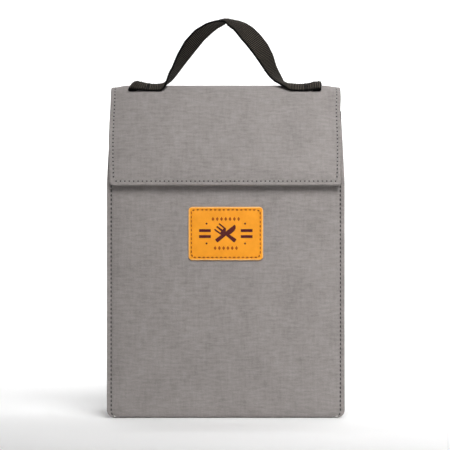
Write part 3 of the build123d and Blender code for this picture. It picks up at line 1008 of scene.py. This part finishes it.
def lip_edge(name, side, route, end):
    """Cloth turned round the side of a lip's padding, from under its seam in to the tuck."""
    pad_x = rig.box("front_lip_foam")[1].x + shell / 2 + 0.1 * MM
    bend, top, depth = 1.2 * MM, -1.5 * shell - 0.05 * MM, -wall - 0.6 * MM
    turn = np.linspace(0, pi / 2, 6)
    s = joined([0, 0.2, 0.6], np.linspace(1.2, 1e3 * (end - shoulder_s) + 1.2, 60)) * MM
    s = joined(s, s[-1] + np.array([0.4, 0.6]) * MM) + shoulder_s - 1.4 * MM
    tip = wall_half_width(route.at(s)[..., 1]) - 0.5 * MM
    share = np.array([1, 0.96, 0.85, 0.6, 0.3])
    flange = pad_x + bend + (tip[:, None] - pad_x - bend) * share
    corner = np.tile(pad_x + bend * (1 - np.sin(turn)), (len(s), 1))
    web = np.full((len(s), 6), pad_x)
    x = np.concatenate([flange, corner, web], 1)
    fall = np.linspace(top - bend, depth, 7)[1:]
    lift = joined(np.full(5, top), top - bend * (1 - np.cos(turn)), fall)
    out_x = joined(np.zeros(5), np.sin(turn), np.ones(6))
    out_lift = joined(np.ones(5), np.cos(turn), np.zeros(6))
    lift, s = np.tile(lift, (len(s), 1)), np.tile(s[:, None], (1, x.shape[1]))
    ends = np.minimum(tip[:, None] - x, np.minimum(s - s[0, 0], s[-1, 0] - s))
    ends = np.minimum(ends, lift - depth)
    half = shell / 2 - edge_round(ends, shell)
    outer = route.place(side * (x + half * out_x), s, lift + half * out_lift)
    inner = route.place(side * (x - half * out_x), s, lift - half * out_lift)
    return closed_sheet(name, outer, inner, stack(x + lift, s), cloth)


for side_name, side in sides:
    for which, route in (("front", front_route), ("back", back_full)):
        edge_cover = lip_edge(f"{side_name}_{which}_lip_edge", side, route, route.length - 3 * MM)
        bend_with_lip(which)(edge_cover)
        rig.slot(edge_cover, "shell_fabric")


# ---------------------------------------------------------------- front lip's binding and tapes
def lip_point(up, inward):
    """A place in YZ that far up the front lip from the shoulder, and inward from its face."""
    y = shoulder_y - up * sin(lean) - inward * cos(lean)
    return [-y, shoulder_z + up * cos(lean) - inward * sin(lean)]


tape = 0.8 * MM
binding_drop = 10 * MM
fold_radius = wall / 2 + tape
binding_points = [lip_point(front_lip_length - binding_drop, -tape)]
for angle in np.linspace(0, pi, 24):
    up = front_lip_length - fold_radius + tape + fold_radius * sin(angle)
    binding_points.append(lip_point(up, wall / 2 - fold_radius * cos(angle)))
binding_points.append(lip_point(front_lip_length - binding_drop, wall + tape))
binding_route = Route(binding_points, 1)
binding_half, binding_seam = 110 * MM, 3 * MM
x, s, ends = panel(
    (-binding_half, binding_half), (0, binding_route.length), (3, 1, 4), (0.8, 0.5, 3)
)
pinch = hump(s - binding_seam, 0, 1.2) * (0.6 + 0.4 * np.cos(2 * pi * x / pitch))
lift = 0.12 * MM * drift(x, s, 9 * MM, 131) - 0.25 * MM * pinch
binding = route_sheet("lip_binding", binding_route, x, s, lift, tape, ends, binding_look)
dress(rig.ride(binding, "front_lip"), "binding_tape", "front_lip_binding")


line_x = np.arange(-25, 26) * pitch
binding_line = seam(binding_route, line_x, binding_seam + 0 * line_x, 0)
dark_looks = (black_thread, hole_shade_look)
stitches("binding_stitches", [binding_line], dark_looks, rider("front_lip"), "grey_thread")

tape_half = 80 * MM
tape_low, tape_high = shoulder_s + 15 * MM, shoulder_s + 37 * MM


def tape_sheet(name, low, high, rough, body, node):
    """Ground of a closure tape on the front lip's slope, between two heights off it."""
    x, s, ends = panel((-tape_half, tape_half), (tape_low, tape_high), (1.2, 0.6, 2), (0.8, 0.6, 2))
    fuzz = rough * np.abs(drift(x, s, 1.3 * MM, 141)) * ramp(ends, 0, 2)
    piece = route_sheet(name, front_route, x, s, high, high - low, ends, hook_look, fuzz)
    dress(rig.ride(piece, body), "closure_tape", node)


tape_sheet("hook_tape_ground", -0.05 * MM, 0.6 * MM, 0, "front_lip", "hook_tape")
tape_sheet("loop_tape_pile", 1.75 * MM, 3.25 * MM, 0.7 * MM, "flap", "loop_tape")
hooks = []
for across in np.arange(-tape_half + 2 * MM, tape_half - 1.9 * MM, 1.9 * MM):
    for up in np.arange(tape_low + 2 * MM, tape_high - 1.9 * MM, 1.7 * MM):
        spot = front_route.place(across, np.full(4, up), np.array([0.5, 0.95, 1.3, 1.15]) * MM)
        spot[:, 0] += np.array([0, 0.02, 0.2, 0.5]) * MM
        hooks.append(tube(spot, np.array([0.17, 0.14, 0.13, 0.1]) * MM, 4))
hook_field = make_object("hook_tape_hooks", *gather(hooks), hook_look, weld=1e-9)
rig.slot(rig.ride(hook_field, "front_lip"), "closure_tape")

inset = 1.2 * MM
end_x, low_s, high_s = tape_half - inset, tape_low + inset, tape_high - inset
corners = [(-end_x, low_s), (end_x, low_s), (end_x, high_s), (-end_x, high_s), (-end_x, low_s)]
tape_lines = []
for start, end in zip(corners[:-1], corners[1:]):
    x, s = np.linspace(start, end, 40).T
    tape_lines.append(even_holes(*seam(front_route, x, s, 0.6 * MM), 3 * MM))
tape_facts = (tape_lines, dark_looks, rider("front_lip"), "closure_tape")
stitches("hook_tape_stitches", *tape_facts, radius=0.3)

# ---------------------------------------------------------------- flap
hinge_s = flap_start
ridge_end_s = hinge_s + (pi - 2 * lean) * ridge_radius
hem_turn = 7 * MM
corner_left, corner_right = 4.5 * MM, 3.2 * MM


def flap_half_width(s, right):
    """Half the flap's width on either side: its right edge is sewn in a little further."""
    z = flap_line.at(s)[..., 1]
    front = ramp(s - ridge_end_s, 0, 20)
    taper = 1.0 * MM * (1 - ramp(z, 216, 34))
    swell = 0.6 * MM * hump(z, 268, 22)
    return 109.8 * MM + front * (swell - taper - np.where(right, 1.1 * MM, 0))


def flap_corner(s, radius):
    drop = np.clip(s - flap_line.length + radius, 0, radius)
    return radius - np.sqrt(radius**2 - drop**2)


def flap_edge(x, s):
    """Distance in from the flap's cut edge."""
    radius = np.where(x < 0, corner_left, corner_right)
    side = flap_half_width(s, x > 0) - np.abs(x)
    hem = flap_line.length - s
    in_corner = (side < radius) & (hem < radius)
    round_one = radius - np.hypot(radius - side, radius - hem)
    return np.maximum(np.where(in_corner, round_one, np.minimum(side, hem)), 0)


def flap_levels(x, s, seed=151):
    """Heights off the flap's line of its outer face and of its pad's inner face."""
    edge = flap_edge(x, s)
    on_flap = ramp(s - hinge_s, -6, 10)
    past_ridge = ramp(s - ridge_end_s, 0, 14)
    ridge = ramp(s - hinge_s, -4, 8) * (1 - past_ridge)
    tug = 0.62 + 0.38 * np.cos(2 * pi * np.where(flap_line.length - s < 5 * MM, x, s) / pitch)
    near = hump(edge - flap_stitch, 0, 1.2)
    half = 1.3 * MM + 1.4 * MM * ramp(edge - flap_stitch, 0.4, 11)
    groove = 0.55 * MM * near * tug
    puff = 0.9 * MM * ramp(edge - flap_stitch, 0, 30) * (1 - ridge)
    uneven = 0.42 * MM * drift(x, s, 43 * MM, seed) + 0.15 * MM * drift(x, s, 15 * MM, seed + 1)
    uneven *= ramp(edge - flap_stitch, 0, 20) * (1 - 0.8 * ridge)
    reach = hump(edge - flap_stitch, 2.2, 3)
    ripple = 0.24 * MM * reach * drift(x, s, 5.0 * MM, seed + 2)
    middle = -flap_pad / 2
    front_part = middle + half - groove + puff + uneven + ripple
    over = ramp(s - hinge_s, -8, 18) * (1 - past_ridge)
    droop = 0.5 * MM * over * (1 - ramp(edge, 0, 8))
    lap = 1.28 * MM * (1 - ramp(s, 8, 10))
    seam = 0.35 * MM * (1 - smooth(np.abs(s - 4.5 * MM) / (1.6 * MM)))
    lip_groove = 0.4 * MM * near * tug
    lip_part = 0.05 * MM + lap - seam - lip_groove
    outer = lip_part * (1 - on_flap) + front_part * on_flap
    pad_inner = middle - half
    return outer - droop, pad_inner - droop, edge, on_flap


def flap_grid(inset, first, last, row_step, column_step=3.4 * MM):
    """x and s over the flap, from one s to another, with its outline drawn in by inset."""
    widest = 110.4 * MM
    across = stations(-widest, widest, column_step) / widest
    count = int((last - first) / row_step)
    tail = last - np.array([0.5, 0.15, 0]) * MM
    rows = np.linspace(first + 0.7 * MM, last - 1 * MM, count)
    along = joined(first + np.array([0, 0.2]) * MM, rows, tail)
    u, s = np.meshgrid(across, along)
    left, right = flap_half_width(s, False) - inset, flap_half_width(s, True) - inset
    if inset == 0:
        left, right = left - flap_corner(s, corner_left), right - flap_corner(s, corner_right)
    return np.where(u < 0, u * left, u * right), s


x, s = flap_grid(0, 0, flap_line.length, pitch / 4, pitch / 4)
outer_lift, pad_inner, edge, on_flap = flap_levels(x, s)
turned = 1 - ramp(edge - hem_turn, -0.8, 1.4)
thickness = shell + (outer_lift - shell - pad_inner) * turned * on_flap
ends = np.minimum(edge, s)
flap_skin = route_sheet("flap_skin", flap_line, x, s, outer_lift, thickness, ends, cloth)


def flap_layer(inset, first, last, row_step):
    """x and s over a layer inside the flap, how far in from its edge, and the flap's levels."""
    x, s = flap_grid(inset, first, last, row_step)
    ends = least(flap_half_width(s, x > 0) - inset - np.abs(x), s - first, last - s)
    return x, s, np.maximum(ends, 0), *flap_levels(x, s)


pad_facts = flap_layer(8 * MM, hinge_s + 6 * MM, flap_line.length - 8 * MM, 3 * MM)
x, s, ends, outer_lift, pad_inner, edge, on_flap = pad_facts
top_lift, low_lift = outer_lift - shell - 0.05 * MM, pad_inner + 0.85 * MM
thickness = top_lift - low_lift
flap_padding = route_sheet("flap_padding", flap_line, x, s, top_lift, thickness, ends, foam_look)

film_facts = flap_layer(5.6 * MM, hinge_s - 7 * MM, flap_line.length - 5.6 * MM, 2 * MM)
x, s, ends, outer_lift, pad_inner, edge, on_flap = film_facts
folds = np.abs(crinkle(x, s, 161, 0.3 * MM)) * ramp(edge, 8, 8)
under_hem = 0.5 * MM * (1 - ramp(edge - hem_turn, -0.6, 1.2))
film = 0.8 * MM
level = (pad_inner + folds + under_hem) * on_flap - 6.5 * MM * (1 - on_flap) + film
flap_film = route_sheet("flap_inner_lining", flap_line, x, s, level, film, ends, foil)


def bend_over_ridge(piece, start_y=15.0 * MM, end_y=6.0 * MM):
    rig.blend(piece, "back_lip", "flap", start=(0, start_y, 0), end=(0, end_y, 0))


bend_over_ridge(flap_skin)
bend_over_ridge(flap_film, 9.0 * MM, 2.0 * MM)
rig.ride(flap_padding, "flap")
dress(flap_skin, "shell_fabric", "flap_panel", fill=0.7)
dress(flap_padding, "padding", "flap_foam", fill=0.8)
dress(flap_film, "foil_lining", "flap_lining")


def flap_holes(x, s):
    """Needle holes over the flap at x and s, and the ways out of the cloth there."""
    return seam(flap_line, x, s, flap_levels(x, s)[0] + 0.18 * MM)


hem_s = flap_line.length - flap_stitch
down = np.arange(2, int((hem_s - 1.2 * MM) / pitch) + 1) * pitch
left_x = flap_stitch - flap_half_width(down, False)
right_x = flap_half_width(down, True) - flap_stitch
row = np.arange(int(left_x[-1] / pitch), int(right_x[-1] / pitch) + 1) * pitch
row = row[(row > left_x[-1] + 1.2 * MM) & (row < right_x[-1] - 1.2 * MM)]
hem_x = joined(left_x, row, right_x[::-1])
hem_line = flap_holes(hem_x, joined(down, np.full(len(row), hem_s), down[::-1]))
flap_lines = [hem_line, flap_holes(row, np.full(len(row), 4.5 * MM))]
pale_looks = (pale_thread, hole_shade_look)
stitches("flap_stitches", flap_lines, pale_looks, bend_over_ridge, "grey_thread", "flap_threads")

# ---------------------------------------------------------------- webbing handle
strap_y, ridge_top = ridge_centre[0], ridge_centre[1] + ridge_radius
single_rise = webbing / 2
loop_radius = 1.35 * MM
tab_ends = {-1: 89.5, 1: 92}  # in millimetres from the middle, left and right
strap_forward = 4.5 * MM  # how far the sewn tabs sit towards the front of the ridge
drape_radius = ridge_radius + webbing / 2
strap_step = 0.55 * MM


def tab_rise(inward):
    """Height of the top layer's middle over the ridge, that far in from a tab's end."""
    return single_rise + (2 * loop_radius) * (1 - np.clip((inward - 1.5 * MM) / (15.5 * MM), 0, 1))


def strap_line():
    """Points of the webbing's centre line in XZ, with its roll in degrees, left end to right."""
    points = []

    def tab(end, side):
        """From the turned-under end of the webbing out round its fold and back over the top."""
        under = [(side * x * MM, single_rise) for x in np.linspace(end - 8, end - 1.8, 4)]
        centre, radius = single_rise + loop_radius, loop_radius
        fold = [
            (side * ((end - 0.9) * MM + radius * (cos(a) - 1)), centre + radius * sin(a))
            for a in np.linspace(-pi / 2, pi / 2, 9)
        ]
        over = [(side * (end - x) * MM, float(tab_rise(x * MM))) for x in np.arange(3.5, 25, 2.5)]
        return [(x, ridge_top + rise, 0) for x, rise in under + fold + over]

    arms = (
        (-61.4, 316.3, -2), (-58.2, 317.6, -7), (-54.2, 321.9, -12), (-48.2, 330.1, -14),
        (-41.8, 341.6, -23), (-34.3, 353.0, -29), (-25.7, 363.0, -27), (-17.0, 369.8, -20),
        (-9.8, 374.2, -12), (-4.3, 376.6, -5), (-0.8, 377.4, 2), (2.2, 377.2, 12),
        (6.0, 375.9, 21), (10.8, 373.2, 28), (15.5, 369.6, 36), (20.4, 365.1, 43),
        (26.2, 359.4, 45), (33.0, 350.8, 45), (38.3, 342.0, 40), (42.7, 332.6, 31),
        (46.2, 326.6, 27), (49.8, 322.0, 22), (54.2, 318.6, 14), (59.0, 316.7, 5),
    )
    points += tab(tab_ends[-1], -1)
    points += [(x * MM, z * MM, roll) for x, z, roll in arms]
    points += tab(tab_ends[1], 1)[::-1]
    line = np.array(points)
    line[:, 2] *= MM  # so that degrees weigh little beside distance
    fine = resample(line, strap_step)
    for _ in range(6):
        fine[1:-1] = fine[:-2] * 0.25 + fine[1:-1] * 0.5 + fine[2:] * 0.25
    return fine[:, 0], fine[:, 1], np.radians(fine[:, 2] / MM)


def strap_skew(x, w):
    """How far the ends of the tabs are cut or sewn aslant."""
    slant = np.where(x < 0, 0.34, 0.06)
    return slant * w * ramp(np.abs(x), 68, 18)


def strap_place(x, z, roll, w, t):
    """Points of the webbing, at w across it and t out of its middle, from grids of its line."""
    way_x, way_z = np.gradient(x, axis=0), np.gradient(z, axis=0)
    length = np.hypot(way_x, way_z)
    nx, nz = -way_z / length, way_x / length
    on_ridge = ramp(np.abs(x), 50, 13)
    flat_y = strap_y + w * np.cos(roll) - t * np.sin(roll) - 0.4 * strap_forward * on_ridge
    out = w * np.sin(roll) + t * np.cos(roll)
    flat = stack(x + nx * out, flat_y, z + nz * out)
    rise = z - ridge_top + ridge_radius + nz * t
    angle = (w - strap_forward) / drape_radius
    draped_y, draped_z = strap_y + rise * np.sin(angle), ridge_centre[1] + rise * np.cos(angle)
    draped = stack(x + nx * t, draped_y, draped_z)
    placed = flat * (1 - on_ridge[..., None]) + draped * on_ridge[..., None]
    placed[..., 0] += strap_skew(x, w)
    return placed


line_x, line_z, line_roll = strap_line()
across = stations(-webbing_width / 2, webbing_width / 2, 1.1 * MM, 0.5 * MM, 1 * MM)
w, station = np.meshgrid(across, np.arange(len(line_x)))
x, z, roll = line_x[station], line_z[station], line_roll[station]
along = station * strap_step
ribs = np.cos(2 * pi * along / rib_pitch)
ends = np.minimum(station, len(line_x) - 1 - station) * strap_step
side_in = webbing_width / 2 - np.abs(w)
ends = np.minimum(side_in, ends)
selvage = 1 + 0.1 * hump(side_in, 1.6, 0.9)
half = (webbing / 2 - edge_round(ends, webbing)) * selvage + 0.2 * MM * ribs * smooth(ends / MM)
half = np.where(ends <= 0, 0, half)
w = w * (1 + 0.006 * ribs)
curl = 0.5 * MM * drift(along, 0 * along, 30 * MM, 181) * (np.abs(w) / (webbing_width / 2)) ** 2
curl *= 1 - ramp(np.abs(x), 44, 14)
gripped = hump(x, 1, 11)
curl -= 3.5 * MM * gripped * ((2 * w / webbing_width) ** 2 - 0.4)
strap = closed_sheet(
    "webbing_handle",
    strap_place(x, z, roll, w, curl + half),
    strap_place(x, z, roll, w, curl - half),
    stack(w, along),
    strap_look,
)


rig.blend(strap, "flap", "handle", start=(0, 0, 317 * MM), end=(0, 0, 342 * MM))
dress(strap, "webbing", "handle_left_tab", "handle_right_tab", "handle_loop")

tab_lines = []
edge_w = 10.3 * MM
for side in (-1, 1):
    outer_x, inner_x = (tab_ends[side] - 3.5) * MM, (tab_ends[side] - 16) * MM
    box = [(outer_x, -edge_w), (outer_x, edge_w), (inner_x, edge_w), (inner_x, -edge_w)]
    for path in (box + box[:1], [(inner_x, -edge_w), (outer_x, edge_w)]):
        even = resample(np.array(path), 1 * MM)
        place_w, place_x = even[:, 1], side * even[:, 0]
        angle = (place_w - strap_forward) / drape_radius
        inward = tab_ends[side] * MM - np.abs(place_x)
        rise = ridge_radius + tab_rise(inward) + webbing / 2 + 0.05 * MM
        place_x = place_x + strap_skew(place_x, place_w)
        out_y, out_z = np.sin(angle), np.cos(angle)
        spots = stack(place_x, strap_y + rise * out_y, ridge_centre[1] + rise * out_z)
        tab_lines.append(even_holes(spots, stack(0 * angle, out_y, out_z), 3.2 * MM))
tab_facts = (tab_lines, dark_looks, rider("flap"), "black_thread", "handle_tab_threads")
stitches("handle_tab_stitches", *tab_facts, radius=0.28, needle=0.45)

# ---------------------------------------------------------------- leather patch
patch_centre_z = (patch_low.z + patch_high.z) / 2
patch_half = ((patch_high.x - patch_low.x) / 2, (patch_high.z - patch_low.z) / 2)
patch_thickness = patch_high.y - patch_low.y
patch_radius = 4 * MM
patch_inset = 2.8 * MM


def on_front(x, z, lift):
    """Points that far off the front wall's cloth, at x and z on its upright face."""
    s = np.asarray(z) - bottom_curl + curl_length
    edge = half_width - np.abs(x)
    return front_route.place(x, s, wall_lift(x, s, edge, front_seed) + lift)


def on_patch(ring, lift):
    """Points that far off the front wall's cloth, from their places in XZ about the patch."""
    return on_front(ring[:, 0], patch_centre_z + ring[:, 1], lift)


def rounded_outline(inset, count=32):
    """Points round the patch, drawn in by inset, in XZ about its centre."""
    half_x, half_z = patch_half[0] - inset, patch_half[1] - inset
    radius = min(max(patch_radius - inset, 0.6 * MM), half_x, half_z)
    corners = ((1, 1, 0), (-1, 1, pi / 2), (-1, -1, pi), (1, -1, 3 * pi / 2))
    points = []
    for i, (right, up, start) in enumerate(corners):
        centre = np.array([right * (half_x - radius), up * (half_z - radius)])
        turn = start + np.linspace(0, pi / 2, 9)
        points += [centre + radius * np.array([cos(angle), sin(angle)]) for angle in turn]
        after = corners[(i + 1) % 4]
        begin = np.array([after[0] * (half_x - radius), after[1] * (half_z - radius)])
        begin = begin + radius * np.array([cos(after[2]), sin(after[2])])
        straight = np.linspace(points[-1], begin, count + 1)[1:-1]
        points += list(straight)
    return np.array(points)


def patch_height_at(inset):
    """Height of the leather's face above the cloth, that far in from its edge."""
    roll = edge_round(inset, 1.5 * MM)
    groove = 0.12 * MM * hump(inset - patch_inset, 0, 0.9)
    swell = 0.25 * MM * ramp(inset - patch_inset, 0, 12)
    return patch_thickness - roll - groove + swell


insets = [0, 0.1, 0.25, 0.5, 0.8, 1.2, 1.6, 2.0, 2.3, 2.6, 2.9, 3.3, 3.9, 5, 7, *range(10, 23, 3), 24.3]
insets = np.array(insets) * MM
rings = [rounded_outline(inset) for inset in (0, *insets)]
heights = [-0.4 * MM] + [float(patch_height_at(inset)) for inset in insets]
vertices = joined(*(on_patch(ring, height) for ring, height in zip(rings, heights)))
faces = ring_faces(len(rings), len(rings[0]))
patch = make_object("leather_patch", vertices, faces, leather, joined(*rings), 1e-7)
dress(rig.ride(patch, "body"), "patch_leather", "patch")

ring = rounded_outline(patch_inset)
ring = joined(ring, ring[:1])
spots = on_patch(ring, float(patch_height_at(patch_inset)) + 0.06 * MM)
holes = even_holes(spots, np.tile([0.0, -1.0, 0.0], (len(ring), 1)), 4.1 * MM)
stitches(
    "patch_stitches", [holes], (brown_thread, patch_hole_shade), rider("body"), "brown_thread",
    "patch_thread", radius=0.5, length=0.58, needle=0.16,
)


def stamp(name, shapes, material, rise=0.07 * MM):
    """Flat marks pressed into the leather's face. A shape is its outline in XZ, in millimetres."""
    parts = []
    for shape in shapes:
        outline = np.array(shape, float) * MM
        fine = resample_corners(joined(outline, outline[:1]), 0.8 * MM)
        inset = np.minimum(patch_half[0] - np.abs(fine[:, 0]), patch_half[1] - np.abs(fine[:, 1]))
        level = patch_height_at(inset)
        faces = [on_patch(fine, level + rise), on_patch(fine, level - 0.3 * MM)]
        parts.append((joined(*faces), ring_faces(2, len(fine))))
    piece = make_object(name, *gather(parts), material, weld=1e-9)
    piece.data.polygons.foreach_set("use_smooth", [False] * len(piece.data.polygons))
    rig.slot(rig.ride(piece, "body"), "brown_thread")


def resample_corners(closed, step):
    """Points along a closed outline that keep its corners."""
    points = []
    for start, end in zip(closed[:-1], closed[1:]):
        count = max(1, round(float(np.linalg.norm(end - start)) / step))
        points += [start + (end - start) * i / count for i in range(count)]
    return np.array(points)


def turned(shape, degrees_round):
    angle = radians(degrees_round)
    turn_x = lambda px, pz: px * cos(angle) - pz * sin(angle)
    turn_z = lambda px, pz: px * sin(angle) + pz * cos(angle)
    return [(turn_x(*point), turn_z(*point)) for point in shape]


def disc(centre, radius, count=14):
    turn = np.arange(count) / count * 2 * pi
    return [(centre[0] + radius * cos(a), centre[1] + radius * sin(a)) for a in turn]


def bar(x, z, width, height):
    return [
        (x - width / 2, z - height / 2), (x + width / 2, z - height / 2),
        (x + width / 2, z + height / 2), (x - width / 2, z + height / 2),
    ]


fork = [
    (-1.5, -11.4), (1.5, -11.4), (1.9, -10.6), (1.35, -1), (1.35, 1.0), (3.9, 2.8), (4.1, 10.8),
    (2.7, 10.8), (2.5, 4.6), (0.95, 4.6), (0.8, 10.8), (-0.8, 10.8), (-0.95, 4.6), (-2.5, 4.6),
    (-2.7, 10.8), (-4.1, 10.8), (-3.9, 2.8), (-1.35, 1.0), (-1.35, -1), (-1.9, -10.6),
]
knife = [
    (-1.5, -11.4), (1.5, -11.4), (1.9, -10.6), (1.5, -0.6), (2.3, -0.3), (3.2, 4.0), (3.0, 7.6),
    (1.9, 10.3), (0.1, 11.6), (-1.5, 11.6), (-1.5, 0), (-1.9, -10.6),
]
pairs = [(side, row) for side in (-1, 1) for row in (-1, 1)]
side_marks = [bar(side * 19.5, row * 2.8, 11, 2.7) for side, row in pairs]
small_marks = []
for row, count in ((13.6, 7), (-13.6, 6)):
    for i in range(count):
        across = (i - (count - 1) / 2) * 4.0
        lozenge = [(0, -2.0), (1.35, 0), (0, 2.0), (-1.35, 0)]
        small_marks.append([(across + px, row + pz) for px, pz in lozenge])
dots = [disc((side * 18, row * 9.3), 0.9) for side, row in pairs]
stamp("patch_emblem", [turned(fork, 52)], dark_mark)
stamp("patch_emblem_knife", [turned(knife, -52)], dark_mark, 0.1 * MM)
stamp("patch_side_bars", side_marks, dark_mark)
stamp("patch_lozenges", small_marks, light_mark)
stamp("patch_dots", dots, dark_mark)

# ---------------------------------------------------------------- hard parts kept from the frame
for node in ("front_foam", "back_foam", "front_lip_foam", "back_lip_foam", "base_foam", "base_board"):
    kept = frame["nodes"][node].data.materials
    kept.clear()
    kept.append(board_look if node == "base_board" else foam_look)

# ---------------------------------------------------------------- floor, light and camera
def backdrop():
    """A pale floor that curves up into a wall behind."""
    turn = np.linspace(-pi / 2, 0, 16)
    bend, depth = 0.8, 1.6
    profile = [(-3.5, 0)] + [(depth + bend * cos(a), bend + bend * sin(a)) for a in turn]
    profile += [(depth + bend, 4.0)]
    vertices = [(x, y, z) for x in (-4, 4) for y, z in profile]
    count = len(profile)
    faces = [[i, i + 1, count + i + 1, count + i] for i in range(count - 1)]
    mesh = bpy.data.meshes.new("backdrop")
    mesh.from_pydata(vertices, [], faces)
    mesh.polygons.foreach_set("use_smooth", [True] * len(mesh.polygons))
    g = Graph("backdrop_paper", 0.9)
    mottle = g.noise(g.cloth(3, 3, "Object"), 2)
    place = g.cloth(1, 1, "Object")
    away = g.node("ShaderNodeVectorMath", {0: place}, operation="LENGTH").outputs["Value"]
    g.shader.inputs["Emission Color"].default_value = (1, 1, 1, 1)
    g.feed(g.shader.inputs["Emission Strength"], g.span(away, 0.5, 2.0, 0.05, 0.28))
    mesh.materials.append(g.wear(g.mix(g.span(mottle, 0.3, 0.7), tone(0.90), tone(0.92))))
    thing = bpy.data.objects.new("backdrop", mesh)
    bpy.context.scene.collection.objects.link(thing)
    thing.location.z = -0.2 * MM
    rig.stage(thing)


def area_light(name, place, target, size, power, spread=180):
    lamp = bpy.data.lights.new(name, "AREA")
    lamp.shape, lamp.size, lamp.size_y = "RECTANGLE", size[0], size[1]
    lamp.energy, lamp.spread = power, radians(spread)
    thing = bpy.data.objects.new(name, lamp)
    thing.location = place
    thing.rotation_mode = "QUATERNION"
    way = [t - p for t, p in zip(target, place)]
    thing.rotation_quaternion = Vector(way).to_track_quat("-Z", "Y")
    bpy.context.scene.collection.objects.link(thing)


backdrop()
key_place, key_target, key_power, key_spread = (0.36, -1.00, 1.27), (0.29, 0, 0.29), 5.2, 60
area_light("key", key_place, key_target, (1.0, 1.0), key_power, key_spread)
area_light("wall_wash", (0, 1.0, 2.2), (0, 2.4, 1.0), (3.0, 0.8), 60)
world = bpy.data.worlds.new("studio")
world.use_nodes = True
paper_white, dim = (0.45, 0.45, 0.45, 1), (0.02, 0.02, 0.02, 1)
nodes, links = world.node_tree.nodes, world.node_tree.links
direction = nodes.new("ShaderNodeTexCoord")
parts = nodes.new("ShaderNodeSeparateXYZ")
height = nodes.new("ShaderNodeMapRange")
height.inputs["From Min"].default_value, height.inputs["From Max"].default_value = 0.04, 0.16
shade = nodes.new("ShaderNodeMix")
shade.data_type = "RGBA"
shade.inputs[6].default_value, shade.inputs[7].default_value = paper_white, dim
links.new(direction.outputs["Generated"], parts.inputs[0])
links.new(parts.outputs["Z"], height.inputs["Value"])
links.new(height.outputs["Result"], shade.inputs[0])
links.new(shade.outputs[2], nodes["Background"].inputs["Color"])
bpy.context.scene.world = world
bpy.context.scene.view_settings.view_transform = "Standard"

camera = bpy.data.cameras.new("camera")
camera.lens, camera.sensor_width = 170.7, 36
eye = bpy.data.objects.new("camera", camera)
eye.location = (-0.75 * MM, -2.055, 0.181)  # level, about 2 m in front of the bag
eye.rotation_euler = (pi / 2, 0, 0)
bpy.context.scene.collection.objects.link(eye)
bpy.context.scene.camera = eye

visual_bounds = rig.bounds()
sizes = {"cad": cad_bounds, "visual": visual_bounds}
with open("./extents.json", "w") as out:
    json.dump({name: [list(corner) for corner in box] for name, box in sizes.items()}, out)
